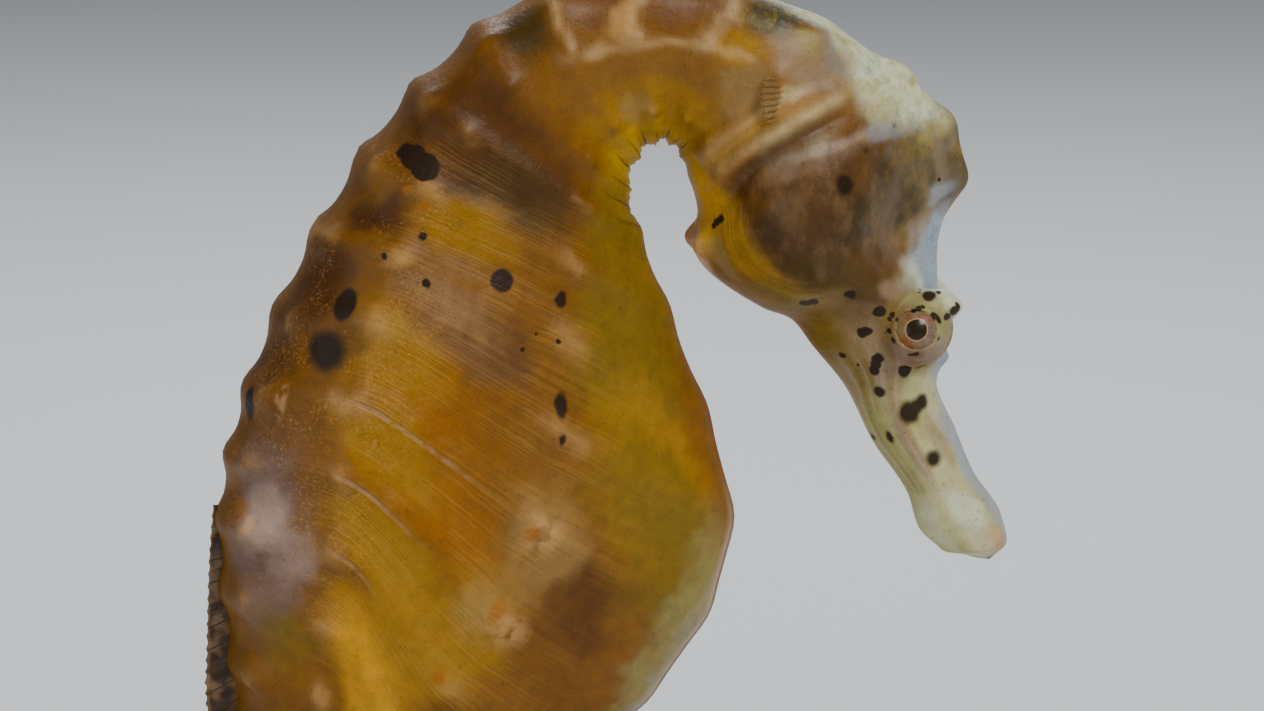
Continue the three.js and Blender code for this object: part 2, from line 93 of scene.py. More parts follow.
camera_data = bpy.data.cameras.new("camera")
camera_data.lens = CAMERA_LENS
camera_data.sensor_width = CAMERA_SENSOR
camera_data.clip_start = CAMERA_NEAR
camera = new_object("camera", camera_data)
to_camera = Vector((math.sin(CAMERA_TURN) * math.cos(CAMERA_RISE),
                    -math.cos(CAMERA_TURN) * math.cos(CAMERA_RISE),
                    math.sin(CAMERA_RISE)))
camera.location = AIM + to_camera * CAMERA_AWAY
camera.rotation_euler = to_camera.to_track_quat("Z", "Y").to_euler()
bpy.context.scene.camera = camera
print("camera at", [round(c, 3) for c in camera.location])


# %% Helpers for a colour and a material
def colour(red, green, blue):
    """A colour given as on a screen, 0 to 255, as the linear values that shaders use."""
    def linear(c):
        c = c / 255
        return c / 12.92 if c <= 0.04045 else ((c + 0.055) / 1.055) ** 2.4
    return (linear(red), linear(green), linear(blue), 1.0)


def new_material(name):
    material = bpy.data.materials.new(name)
    material.use_nodes = True
    return material, material.node_tree, material.node_tree.nodes["Principled BSDF"]


def fill(tree, made, inputs):
    """Fills inputs of a node: a socket is linked to its input, and anything else is set as a constant."""
    for key, value in inputs.items():
        if isinstance(value, bpy.types.NodeSocket):
            tree.links.new(value, made.inputs[key])
        else:
            made.inputs[key].default_value = value


print("screen grey 128 is %.3f to a shader" % colour(128, 128, 128)[0])

# %% Floor
FLOOR_HALF = 6.0
corners = [(-FLOOR_HALF, -FLOOR_HALF, 0), (FLOOR_HALF, -FLOOR_HALF, 0),
           (FLOOR_HALF, FLOOR_HALF, 0), (-FLOOR_HALF, FLOOR_HALF, 0)]
floor_mesh = bpy.data.meshes.new("floor")
floor_mesh.from_pydata(corners, [], [(0, 1, 2, 3)])
floor = new_object("floor", floor_mesh)
floor_material, floor_tree, floor_shader = new_material("pale floor")
fill(floor_tree, floor_shader, {"Base Color": colour(226, 228, 230), "Roughness": 0.9})
floor_mesh.materials.append(floor_material)
print("floor:", 2 * FLOOR_HALF, "m square")

# %% Sky and lamps
SKY_STRENGTH = 0.28
world = bpy.data.worlds.new("studio")
world.use_nodes = True
fill(world.node_tree, world.node_tree.nodes["Background"],
     {"Color": colour(236, 240, 246), "Strength": SKY_STRENGTH})
bpy.context.scene.world = world


def lamp(name, place, size, power, tint):
    """A round soft lamp that faces the model: size in metres, power in watts."""
    data = bpy.data.lights.new(name, "AREA")
    data.shape = "DISK"
    data.size = size
    data.energy = power
    data.color = tint
    made = new_object(name, data)
    made.location = place
    made.rotation_euler = (Vector(place) - AIM).to_track_quat("Z", "Y").to_euler()


lamp("key lamp", (0.35, -0.55, 0.75), size=0.35, power=6.4, tint=(1.0, 0.97, 0.93))
lamp("fill lamp", (-0.7, -0.5, 0.25), size=0.6, power=1.5, tint=(0.93, 0.97, 1.0))
lamp("rim lamp", (0.1, 0.7, 0.6), size=0.4, power=4.0, tint=(0.95, 0.98, 1.0))
print("lamps:", len(bpy.data.lights))

# %% [markdown]
# ## The lines of the body
# A seahorse is a tube of bony rings. Five lines run along it: the back, an upper ridge, a side ridge, a
# lower ridge and the belly. The running coordinate "ring" is -12 at the tip of the snout, 0 at the ring
# behind the gill cover, 13 where the trunk ends and 59 at the tip of the tail. The midline is drawn with
# a point only where it needs one, in millimetres. A side ridge is given by its share of the way from back
# to belly, and by how far the ring bends ahead of that straight line. The solids were made from the same
# few values, so the skin fits them.

# %% Lines
BACK_LINE = [
    (-12, 34.4, 117.3), (-11.7, 35.4, 118.3), (-11, 35.2, 121), (-10, 32.9, 124.6), (-9, 31.3, 128.4),
    (-8, 29.8, 131.8), (-7, 30.3, 134), (-5, 29.8, 139.5), (-3, 30.2, 145.4), (-2, 31.8, 148.7),
    (-1, 30.6, 153.6), (0, 26.4, 157.4), (1, 20.6, 161.9), (2, 13, 165), (3, 5.5, 166.4), (4, -1.5, 165.2),
    (6, -12.5, 157.3), (8, -20.6, 146), (10, -26.3, 133.5), (12, -28.6, 122.8), (14, -27.8, 111),
    (16, -26.8, 101),
]
BELLY_LINE = [
    (-12, 32.6, 117.6), (-11.7, 31, 118.1), (-11, 28.8, 119.6), (-10, 27.5, 123), (-8.5, 24.6, 127.4),
    (-7, 22.1, 132.3), (-6, 19.7, 135.3), (-5, 17.9, 137.6), (-4, 15.4, 138.7), (-2, 10, 143.5),
    (-1, 10.3, 146.6), (0, 9.6, 149.2), (3, 6.9, 152), (4, 5.7, 151), (5, 5, 148.5), (6, 5.8, 145.3),
    (7, 8.1, 139), (8, 11, 130.6), (9, 13.1, 121.5), (10, 11.1, 113.6), (11, 6, 106.4), (12, -0.8, 101.4),
    (14, -12.2, 96.4), (16, -17, 92.2),
]
SIDE_RIDGE = [
    (-12, 0.45, 0), (-10, 0.55, 0.7), (-6, 0.4, 1.4), (-2, 0.53, 1.7), (0, 0.47, 1.3), (1, 0.37, 0.6),
    (3, 0.34, 1.2), (5, 0.23, 1.3), (7, 0.18, -0.5), (9, 0.16, -3.3), (11, 0.18, -4.4), (13, 0.26, -4.2),
    (15, 0.35, -2),
]
LOWER_RIDGE = [
    (-12, 0.77, 0), (-9, 0.85, 0.5), (-6, 0.78, 0.7), (-3, 0.87, 1), (0, 0.86, 0.6), (2, 0.8, 0),
    (4, 0.74, 0.7), (6, 0.71, 0.5), (8, 0.6, -1.5), (10, 0.59, -1.5), (12, 0.62, -0.5), (16, 0.77, -0.4),
]
UPPER_RIDGE = [(-12, 0.3), (-2, 0.25), (1, 0.2)]
UPPER_HALF_WIDTH = [
    (-12, 0.4), (-11.5, 1.4), (-11, 1.9), (-9, 1.5), (-7, 1.9), (-5, 2.3), (-3, 1.9), (-1, 2.4), (1, 3.2),
    (4, 3.6), (8, 4.2), (11, 4.6), (13, 4.4), (16, 3.4),
]
SIDE_HALF_WIDTH = [
    (-12, 0.5), (-11.8, 1.4), (-11.5, 2.1), (-11, 2.5), (-10, 2.4), (-8, 2.6), (-6, 3.9), (-4, 5.8),
    (-2, 7.2), (0, 6.2), (1, 5.4), (3, 5), (6, 6.2), (9, 8.2), (11, 8.8), (13, 7.6), (14, 6.4), (16, 4.3),
]
LOWER_HALF_WIDTH = [
    (-12, 0.4), (-11.5, 1.7), (-11, 2), (-9, 1.8), (-6, 2.6), (-4, 4.2), (-2, 4.4), (0, 3.6), (3, 3.2),
    (6, 5.2), (9, 7.8), (11, 8.2), (13, 6.4), (14, 5.2), (16, 3.5),
]
print("points on the midline:", len(BACK_LINE) + len(BELLY_LINE))


# %% Curves through the points
def slopes_between(knots, values):
    """The slope of each span, and at each inner knot, weighted by the spans on both sides."""
    step = np.diff(knots).reshape(-1, *[1] * (values.ndim - 1))
    slope = np.diff(values, axis=0) / step
    return slope, (slope[:-1] * step[1:] + slope[1:] * step[:-1]) / (step[1:] + step[:-1])


def hermite(s, span, start, end, start_slope, end_slope):
    """A smooth curve between two values: s runs from 0 to 1 over the span."""
    return ((2 * s**3 - 3 * s**2 + 1) * start + (s**3 - 2 * s**2 + s) * span * start_slope
            + (-2 * s**3 + 3 * s**2) * end + (s**3 - s**2) * span * end_slope)


def along(keys, t):
    """Smooth values through keys (t, a, b, ...)."""
    keys = np.asarray(keys, float)
    knots, values = keys[:, 0], keys[:, 1:]
    slope, inner = slopes_between(knots, values)
    tangent = np.vstack([slope[:1], inner, slope[-1:]])
    t = np.atleast_1d(np.asarray(t, float))
    i = np.clip(np.searchsorted(knots, t, side="right") - 1, 0, len(knots) - 2)
    span = np.diff(knots)[i][:, None]
    s = (t - knots[i])[:, None] / span
    return hermite(s, span, values[i], values[i + 1], tangent[i], tangent[i + 1])


def smooth(x):
    """0 below 0, 1 above 1, with a soft S between."""
    t = np.clip(x, 0, 1)
    return t * t * (3 - 2 * t)


def between(value, start, rise, end, fall):
    """1 between start and end, with a soft rise after the start and a soft fall before the end."""
    return smooth((value - start) / rise) * smooth((end - value) / fall)


def bell(x, width):
    """1 at 0, and almost nothing at twice the width."""
    return np.exp(-((x / width) ** 2))


print("back at ring 10, in mm:", np.round(along(BACK_LINE, 10)[0], 1))

# %% The tail hangs straight, then curls forward in an open spiral
TAIL_START, TAIL_TIP = 17.0, 59.0
TAIL_ROOT_X, TAIL_ROOT_Z = -22.3, 92.4
TAIL_STEPS = 840
# Each size of the tail is its value at the tip, how much more it is at the root, and how it tapers.
TAIL_HALF_WIDTH, TAIL_HALF_DEPTH, TAIL_RING_LENGTH = (0.5, 3.1, 1.1), (0.55, 4.0, 1.12), (1.1, 4.1, 1.2)
TAIL_UPPER, TAIL_SIDE, TAIL_LOWER = 0.24, 0.46, 0.86
NARROWER = 0.8  # the tail's upper and lower ridges, as a share of its width at the side
LEAN, SWAY, SWAY_SHARE = 2, 8, 0.5
CURL, CURL_START, CURL_TIGHTER = 585, 0.27, 1.3
RING_TILT, TILT_END, TILT_FADE = math.radians(36), 25, 9


def tail_share(ring):
    return np.clip((np.asarray(ring, float) - TAIL_START) / (TAIL_TIP - TAIL_START), 0, 1)


def tapered(u, tip, more_at_root, taper_power):
    return tip + more_at_root * (1 - u) ** taper_power


def tail_heading(u):
    """How far the tail has turned forward from straight down, in radians."""
    curled = np.clip((u - CURL_START) / (1 - CURL_START), 0, None)
    sway = SWAY * np.sin(np.pi * np.minimum(u / SWAY_SHARE, 1))
    return np.radians(LEAN - sway + CURL * curled**CURL_TIGHTER)


def tail_half_width(ring):
    return tapered(tail_share(ring), *TAIL_HALF_WIDTH)


tail_u = np.arange(TAIL_STEPS + 1) / TAIL_STEPS
tail_stride = tapered(tail_u[:-1], *TAIL_RING_LENGTH) * (TAIL_TIP - TAIL_START) / TAIL_STEPS
tail_x = TAIL_ROOT_X + np.concatenate([[0], np.cumsum(np.sin(tail_heading(tail_u[:-1])) * tail_stride)])
tail_z = TAIL_ROOT_Z - np.concatenate([[0], np.cumsum(np.cos(tail_heading(tail_u[:-1])) * tail_stride)])


def tail_edge(ring, place):
    """The tail's midline outline: place is -1 on the back and 1 on the belly."""
    u = tail_share(ring)
    tilt = RING_TILT * smooth((TILT_END - ring) / TILT_FADE)
    depth = tapered(u, *TAIL_HALF_DEPTH) / np.cos(tilt) * place
    heading = tail_heading(u) - tilt
    x, z = np.interp(u, tail_u, tail_x), np.interp(u, tail_u, tail_z)
    return np.stack([x + np.cos(heading) * depth, z + np.sin(heading) * depth], axis=-1)


print("tail, measured straight: %.0f mm" % tail_stride.sum())

# %% The body lines run on into the tail
JOIN = np.array([TAIL_START, TAIL_START + 1])


def joined(keys, values):
    return np.vstack([np.array(keys, float), np.column_stack([JOIN, values])])


back_keys = joined(BACK_LINE, tail_edge(JOIN, -1))
belly_keys = joined(BELLY_LINE, tail_edge(JOIN, 1))
side_keys = joined(SIDE_RIDGE, [[TAIL_SIDE, 0]] * 2)
lower_keys = joined(LOWER_RIDGE, [[TAIL_LOWER, 0]] * 2)
upper_keys = joined(UPPER_RIDGE, [[TAIL_UPPER]] * 2)
upper_width_keys = joined(UPPER_HALF_WIDTH, NARROWER * tail_half_width(JOIN))
side_width_keys = joined(SIDE_HALF_WIDTH, tail_half_width(JOIN))
lower_width_keys = joined(LOWER_HALF_WIDTH, NARROWER * tail_half_width(JOIN))
RIDGES = np.array([0, 0.15, 0.36, 0.68, 1.0])  # where the guide points lie around the section


def body_guides(ring):
    """The five guide points of each section, back to belly, as (x, half-width, z) in millimetres."""
    ring = np.atleast_1d(np.asarray(ring, float))
    tail = (ring > JOIN[1])[:, None]
    front = np.minimum(ring, JOIN[1])
    back = np.where(tail, tail_edge(ring, -1), along(back_keys, front))
    belly = np.where(tail, tail_edge(ring, 1), along(belly_keys, front))
    side = np.where(tail, [TAIL_SIDE, 0], along(side_keys, front))
    lower = np.where(tail, [TAIL_LOWER, 0], along(lower_keys, front))
    upper = np.where(tail, [TAIL_UPPER], along(upper_keys, front)) * side
    middle_width = tail_half_width(ring)[:, None]
    widths = [np.where(tail, scale * middle_width, along(keys, front)) for scale, keys in
              ((NARROWER, upper_width_keys), (1, side_width_keys), (NARROWER, lower_width_keys))]
    chord = belly - back
    across = np.column_stack([chord[:, 1], -chord[:, 0]]) / np.linalg.norm(chord, axis=1, keepdims=True)
    guides = np.zeros((len(ring), 5, 3))
    guides[:, 0, ::2], guides[:, 4, ::2] = back, belly
    for n, (line, width) in enumerate(zip((upper, side, lower), widths), start=1):
        guides[:, n, ::2] = back + chord * line[:, :1] + across * line[:, 1:]
        guides[:, n, 1] = width[:, 0]
    return guides


# %% The smooth body
def body_surface(ring, around):
    """Points of the smooth body: a row for each ring, a column for each place around (-1 to 1)."""
    guides = body_guides(ring)
    mirrored = guides * np.array([1, -1, 1])
    knots = np.concatenate([[-RIDGES[1]], RIDGES, [2 - RIDGES[3]]])
    points = np.concatenate([mirrored[:, 1:2], guides, mirrored[:, 3:4]], axis=1).swapaxes(0, 1)
    tangent = slopes_between(knots, points)[1]
    a = np.abs(around)
    i = np.clip(np.searchsorted(knots, a, side="right") - 1, 1, len(knots) - 3)
    span = np.diff(knots)[i][:, None, None]
    s = (a - knots[i])[:, None, None] / span
    surface = hermite(s, span, points[i], points[i + 1], tangent[i - 1], tangent[i]).swapaxes(0, 1)
    surface[:, :, 1] *= np.where(around < 0, -1, 1)[None, :]
    return surface


def body_normals(ring, around):
    """Outward directions of the smooth body, for the same rows and columns."""
    step = 0.01
    a = np.clip(np.abs(around), step, 1 - step)
    length = body_surface(ring + step, np.abs(around)) - body_surface(ring - step, np.abs(around))
    girth = body_surface(ring, a + step) - body_surface(ring, a - step)
    normal = np.cross(girth, length)
    normal[:, :, 1] *= np.where(around < 0, -1, 1)[None, :]
    in_midline = (np.abs(around) < 1e-9) | (np.abs(around) > 1 - 1e-9)
    normal[:, in_midline, 1] = 0
    return normal / np.linalg.norm(normal, axis=2, keepdims=True)


print("trunk depth at ring 10: %.1f mm" % np.linalg.norm(np.diff(body_guides([10])[0, [0, 4]], axis=0)))

# %% [markdown]
# ## Relief of the armour
# Between its rings the skin sinks a little, and where a ring crosses a ridge it stands up in a blunt
# knob. A bump map could fake that from in front, but the outline would stay smooth, so the points
# themselves are moved. On the head there are a few bumps of its own: the nose, the low crown or coronet
# with its two corners, the knob of the nape and the corner of the throat.

# %% Relief
RING_HOLLOW = [(-1, 0), (0, 0.05), (1, 0.25), (6, 0.35), (13, 0.35), (17, 0.4), (30, 0.36), (59, 0.05)]
BACK_HOLLOW = [(-1, 0), (0, 0.1), (2, 0.35), (5, 0.6), (13, 0.6), (17, 0.45), (30, 0.36), (59, 0.05)]
KNOB = [(-1, 0), (0, 0.2), (4, 0.3), (12, 0.4), (17, 0.5), (30, 0.42), (59, 0.08)]
KNOB_REACH = (0.04, 0.03, 0.025)
RING_SHARPNESS = 1.5
BACK_STRIP, BACK_FADE = 0.26, 0.12
ARMOUR_START = -0.5
HEAD_BUMPS = [  # ring, around, height, reach along, reach around
    (-1.9, 0.86, 0.9, 0.32, 0.05), (-6.9, 0.0, 0.45, 0.25, 0.08), (-1.95, 0.05, 0.55, 0.3, 0.07),
    (-1.0, 0.05, 0.6, 0.28, 0.07), (-0.05, 0.0, 0.9, 0.3, 0.08),
]


def relief(ring, around):
    """How far the armour and the bumps of the head lift the smooth body, in millimetres."""
    ring = np.asarray(ring, float)
    rows, a = ring[:, None], np.abs(around)[None, :]
    on_ring = (0.5 + 0.5 * np.cos(2 * np.pi * rows)) ** RING_SHARPNESS
    on_back = smooth((BACK_STRIP - a) / BACK_FADE)
    hollow = along(RING_HOLLOW, ring) * (1 - on_back) + along(BACK_HOLLOW, ring) * on_back
    near_ridge = np.max([bell(a - RIDGES[n + 1], reach) for n, reach in enumerate(KNOB_REACH)], axis=0)
    armour = along(KNOB, ring) * near_ridge * on_ring**2 - hollow * (1 - on_ring)
    height = np.where(rows > ARMOUR_START, armour, 0.0)
    for at_ring, at_around, rise, reach_along, reach_round in HEAD_BUMPS:
        height = height + rise * bell(rows - at_ring, reach_along) * bell(a - at_around, reach_round)
    return height


def skin_place(ring, around):
    """One point of the skin, on the +Y side, in millimetres."""
    at_ring, at_around = np.array([float(ring)]), np.array([float(around)])
    lift = relief(at_ring, at_around)[:, :, None]
    return (body_surface(at_ring, at_around) + body_normals(at_ring, at_around) * lift)[0, 0]


print("highest knob: %.2f mm" % relief(np.arange(60), RIDGES).max())

# %% [markdown]
# ## One skin over the whole animal
# The solids are parted where a person names the parts, but a living seahorse has a single skin. So one
# closed mesh is woven over the same lines, in rows round the body. The rows lie closest at the mouth and
# the eyes, where the eye looks first, and the tail needs fewer columns because it is thin. Where the
# number of columns halves, two fine cells are zipped to one coarse cell, which keeps the mesh closed.

# %% Places taken from the frame
eye_low, eye_high = (np.array(corner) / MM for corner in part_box("eye_left"))
EYE_CENTRE = (eye_low + eye_high) / 2
EYE_RADIUS = (eye_high[0] - eye_low[0]) / 2


def unit(vector):
    return vector / np.linalg.norm(vector)


gaze = unit(np.array([-0.136, 0.969, 0.208]))  # the left eye looks out, a little back and a little up
eye_ahead = unit(np.cross(gaze, [0, 0, 1]))
eye_above = np.cross(eye_ahead, gaze)
HIGHEST = solid_high[2] / MM - 0.02  # the skin stays just under the top of the solids
print("eye at", np.round(EYE_CENTRE, 1), "radius", round(EYE_RADIUS, 2))


# %% Distance to a line of places
def distance_to_line(points, line):
    """Distance from each point to a line of places, and how far along the line its nearest place is."""
    best = np.full(points.shape[:-1], np.inf)
    share = np.zeros(points.shape[:-1])
    count = len(line) - 1
    for n in range(count):
        start, run = line[n], line[n + 1] - line[n]
        s = np.clip(((points - start) @ run) / (run @ run), 0, 1)
        gap = np.linalg.norm(points - (start + s[..., None] * run), axis=-1)
        closer = gap < best
        best = np.where(closer, gap, best)
        share = np.where(closer, (n + s) / count, share)
    return best, share


# %% Folds of the head and gill cover
# Each fold is a line of (ring, around) places, with its height and half-width in millimetres.
GILL_FOLD = [
    (-0.75, 0.83), (-0.45, 0.77), (-0.2, 0.68), (-0.02, 0.57), (0.06, 0.46), (0.1, 0.36), (0.13, 0.28),
    (0.18, 0.21),
]
NECK_FOLD = [(0.36, 0.82), (0.48, 0.75), (0.57, 0.69), (0.62, 0.61), (0.61, 0.53), (0.58, 0.46)]
FOLD_GROOVE = [(0.1, 0.8), (0.25, 0.73), (0.4, 0.64), (0.42, 0.55), (0.41, 0.46), (0.35, 0.39)]
GILL_GROOVE = [
    (-1.2, 0.76), (-0.73, 0.67), (-0.42, 0.575), (-0.28, 0.48), (-0.2, 0.39), (-0.12, 0.295), (0.02, 0.23),
]
CHEEK_FOLD = [
    (-4.6, 0.28), (-4.2, 0.245), (-3.25, 0.15), (-2.7, 0.13), (-2.0, 0.175), (-1.4, 0.205), (-0.8, 0.2),
]
SNOUT_LINE = [(-11.2, 0.42), (-10.2, 0.44), (-9.2, 0.45), (-8.2, 0.46), (-7.4, 0.48)]
FOLDS = [
    (GILL_FOLD, 0.85, 0.95), (NECK_FOLD, 0.8, 0.95), (FOLD_GROOVE, -0.3, 0.5), (GILL_GROOVE, -0.4, 0.7),
    (CHEEK_FOLD, 0.35, 0.8), (SNOUT_LINE, 0.14, 0.5),
]
FOLD_LINES = [(np.array([skin_place(*key) for key in keys]), height, half_width)
              for keys, height, half_width in FOLDS]
FOLD_START, FOLD_END = 0.35, 0.25


def taper(share):
    """Folds fade in over their first part and out over their last."""
    return between(share, 0, FOLD_START, 1, FOLD_END)


print("folds:", len(FOLDS))

# %% Gill dome and gill opening
GILL_DOME, DOME_RISE, DOME_REACH = (-2.0, 0.42), 0.8, (9.4, 9.0, 9.0)
GILL_TUBE, TUBE_RISE, TUBE_REACH = (-0.2, 0.21), 0.6, 0.95
DOME_PLACE, TUBE_PLACE = skin_place(*GILL_DOME), skin_place(*GILL_TUBE)


def head_detail(points):
    """How much the folds, the gill dome and the gill opening lift the skin, on the right and the left."""
    mirrored = points.copy()
    mirrored[..., 1] = np.abs(mirrored[..., 1])
    lift = np.zeros(points.shape[:-1])
    for line, height, half_width in FOLD_LINES:
        gap, share = distance_to_line(mirrored, line)
        lift += height * bell(gap, half_width) * taper(share)
    dome = (mirrored - DOME_PLACE) / np.array(DOME_REACH)
    lift += DOME_RISE * smooth(1 - np.linalg.norm(dome, axis=-1))
    lift += TUBE_RISE * bell(np.linalg.norm(mirrored - TUBE_PLACE, axis=-1), TUBE_REACH)
    return lift


print("gill dome at", np.round(DOME_PLACE, 1), "mm")

# %% Throat creases, keel and lips
CREASES_PER_RING, CREASE_DEPTH = 4, 0.22
KEEL_RISE, KEEL_HALF_WIDTH = 0.25, 0.012
LIP_RING, LIP_RISE, LIP_REACH = -11.62, 0.22, 0.14


def neck_creases(ring, around):
    """Fine creases that fan out under the bend of the neck."""
    rows, a = ring[:, None], np.abs(around)[None, :]
    fan = 0.5 + 0.5 * np.cos(2 * np.pi * rows * CREASES_PER_RING)
    inner = smooth((a - 0.78) / 0.12) * between(rows, 0.3, 1.2, 6.5, 1.5)
    return -CREASE_DEPTH * (1 - fan) ** 3 * inner


def keel(ring, around):
    """The belly ends in a thin raised edge."""
    rows, a = ring[:, None], np.abs(around)[None, :]
    return KEEL_RISE * bell(1 - a, KEEL_HALF_WIDTH) * between(rows, 7, 1.5, 14, 2)


def lips(ring, around):
    """Raised lips round the tip of the snout, fuller under it."""
    rows, a = ring[:, None], np.abs(around)[None, :]
    return LIP_RISE * bell(rows - LIP_RING, LIP_REACH) * (0.6 + 0.4 * smooth((a - 0.1) / 0.3))


print("lips raised to %.2f mm" % lips(np.array([LIP_RING]), np.array([1.0]))[0, 0])

# %% [markdown]
# The orbit is a mound of skin round each eye, open over the ball, and the brow carries a blunt spine on
# each side. They could be pieces of their own, but then a seam would show. So the points of the skin that
# lie near them are moved: outward to the mound, in behind the ball, and along the spine.

# %% Orbits, lids and brow spines
ORBIT_CENTRE = EYE_CENTRE * np.array([1, 0.75, 1])
ORBIT_RADII = np.array([3.2, 2.7, 3.2])
ORBIT_SOFTNESS, ORBIT_LIMIT, ORBIT_FOOT = 0.35, 5.5, 0.02
EYE_OPENING, LID = 1.62, 0.12
LID_REACH, LID_ROLL, LID_SOFTNESS, LID_EDGE, BEHIND_BALL = 3.6, 0.08, 0.2, 0.18, 0.45
BROW_ROOT = np.array([29.2, 3.0, 139.1])
BROW_DIRECTION = unit(np.array([0.9, 0.22, 0.3]))
BROW_LENGTH, BROW_RADIUS, BROW_BLEND, BROW_DEEP = 1.15, 1.65, 0.8, -2.2


def raise_orbit(p, n):
    """Moves points out along their normals to the far side of the mound, blended at its foot."""
    q, d = (p - ORBIT_CENTRE) / ORBIT_RADII, n / ORBIT_RADII
    a, b, c = (d * d).sum(-1), (q * d).sum(-1), (q * q).sum(-1) - 1
    root = b * b - a * c
    far = np.where(root > 0, (-b + np.sqrt(np.maximum(root, 0))) / a, -1.0)
    near_eye = np.linalg.norm(p - EYE_CENTRE, axis=-1) < ORBIT_LIMIT
    raised = np.where(near_eye & (root > 0), 0.5 * (far + np.hypot(far, ORBIT_SOFTNESS)), 0.0)
    return p + n * (raised * smooth(root / ORBIT_FOOT))[..., None]


def open_lids(p):
    """Within the opening the skin sinks behind the ball, and the rim of the opening is a soft lid."""
    offset = p - EYE_CENTRE
    out = offset @ gaze
    radial = np.linalg.norm(offset - out[..., None] * gaze, axis=-1)
    facing = (out > 0) & (radial < LID_REACH)
    ball = np.sqrt(np.maximum(EYE_RADIUS**2 - np.minimum(radial, EYE_RADIUS) ** 2, 0))
    covered = 0.5 * (out + ball + LID + np.hypot(out - ball - LID, LID_SOFTNESS))
    over_ball = np.where(facing & (radial < EYE_RADIUS), covered, out)
    rim = LID_ROLL * bell(radial - (EYE_OPENING + LID_SOFTNESS), LID_SOFTNESS)
    inside = smooth((EYE_OPENING - radial) / LID_EDGE)
    sunk = np.minimum(out, ball - BEHIND_BALL)
    target = np.where(facing, (over_ball + rim) * (1 - inside) + sunk * inside, out)
    return p + (target - out)[..., None] * gaze


def pull_brow(p):
    """Pulls the brow spine out like clay, with a blunt end."""
    offset = p - BROW_ROOT
    run = offset @ BROW_DIRECTION
    gap = np.linalg.norm(offset - run[..., None] * BROW_DIRECTION, axis=-1)
    pull = BROW_LENGTH * smooth((BROW_RADIUS - gap) / BROW_BLEND) * (run > BROW_DEEP)
    return p + pull[..., None] * BROW_DIRECTION


def sculpt_eyes(points, normals):
    """Shapes both sides with the left side's orbit, lids and brow spine."""
    side = np.where(points[..., 1:2] < 0, -1.0, 1.0)
    mirror = np.concatenate([np.ones_like(side), side, np.ones_like(side)], axis=-1)
    return pull_brow(open_lids(raise_orbit(points * mirror, normals * mirror))) * mirror


print("eye opening: %.1f mm across" % (2 * EYE_OPENING))


# %% Rows and columns
def spaced(start, end, count):
    return np.linspace(start, end, count, endpoint=False)


# Mouth, snout, eyes, gill cover and trunk come first, with 160 columns; the tail has 80, and its tip 40.
BODY_ROWS = np.concatenate([
    spaced(-12, -11.3, 20), spaced(-11.3, -7.3, 56), spaced(-7.3, -4.3, 88), spaced(-4.3, 1, 92),
    spaced(1, TAIL_START, 152),
])
TAIL_ROWS = spaced(TAIL_START, 40, 200)
TIP_ROWS = np.append(spaced(40, TAIL_TIP, 152), TAIL_TIP)
SECTIONS = [(BODY_ROWS, 160), (TAIL_ROWS, 80), (TIP_ROWS, 40)]
HEAD_END = 2


def columns_around(count):
    """Places around from -1 to 1, evenly spaced, starting at the mid back."""
    return (np.arange(count) * 2 / count + 1) % 2 - 1


def skin_rows(ring, around):
    """Points of the finished skin, for every pair of a ring and a place around."""
    base, normal = body_surface(ring, around), body_normals(ring, around)
    lift = relief(ring, around) + neck_creases(ring, around) + keel(ring, around) + lips(ring, around)
    head = ring < HEAD_END
    lift[head] += head_detail(base[head])
    points = base + normal * lift[..., None]
    points[head] = sculpt_eyes(points[head], normal[head])
    points[..., 2] = np.minimum(points[..., 2], HIGHEST)
    return points


def sculpted_place(ring, around):
    """A place on the finished skin, with its folds and mounds."""
    return skin_rows(np.array([float(ring)]), np.array([float(around)]))[0, 0]


print("rows:", sum(len(rows) for rows, count in SECTIONS))

# %% Skin: rows woven into faces
skin_points, skin_ring, skin_around, faces, starts = [], [], [], [], []
total = 0
for rows, count in SECTIONS:
    around = columns_around(count)
    points = skin_rows(rows, around)
    skin_points.append(points.reshape(-1, 3))
    skin_ring.append(np.repeat(rows, count))
    skin_around.append(np.tile(np.abs(around), len(rows)))
    starts.append(total)
    for r in range(len(rows) - 1):
        p = total + r * count + np.arange(count)
        q = total + r * count + (np.arange(count) + 1) % count
        faces += np.column_stack([p, q, q + count, p + count]).tolist()
    total += len(rows) * count
print("woven points:", total)

# %% Skin: zips between sections, where two fine cells meet one coarse cell
for (rows, count), start, next_start in zip(SECTIONS[:-1], starts[:-1], starts[1:]):
    last = start + (len(rows) - 1) * count
    half = count // 2
    for k in range(half):
        f0, f1, f2 = (last + (2 * k + m) % count for m in range(3))
        c0, c1 = next_start + k, next_start + (k + 1) % half
        faces += [[f0, f1, c0], [f1, f2, c1], [f1, c1, c0]]
print("woven and zipped faces:", len(faces))

# %% Skin: closed ends, each a fan round a point in the middle of the end row
all_points = np.vstack(skin_points)
ring_value, around_value = np.concatenate(skin_ring), np.concatenate(skin_around)
for start, count, flip in ((0, SECTIONS[0][1], True), (total - SECTIONS[-1][1], SECTIONS[-1][1], False)):
    row = np.arange(start, start + count)
    all_points = np.vstack([all_points, all_points[row].mean(axis=0)])
    ring_value, around_value = np.append(ring_value, ring_value[start]), np.append(around_value, 0.5)
    middle = len(all_points) - 1
    for k in range(count):
        a, b = int(row[k]), int(row[(k + 1) % count])
        faces.append([middle, b, a] if flip else [middle, a, b])
print("closed with", len(all_points) - total, "points")


# %% Skin: the mesh
def mesh_from(name, points, faces, edges=()):
    """A mesh from places in millimetres."""
    mesh = bpy.data.meshes.new(name)
    mesh.from_pydata((np.asarray(points) * MM).tolist(), edges, faces)
    mesh.update()
    return mesh


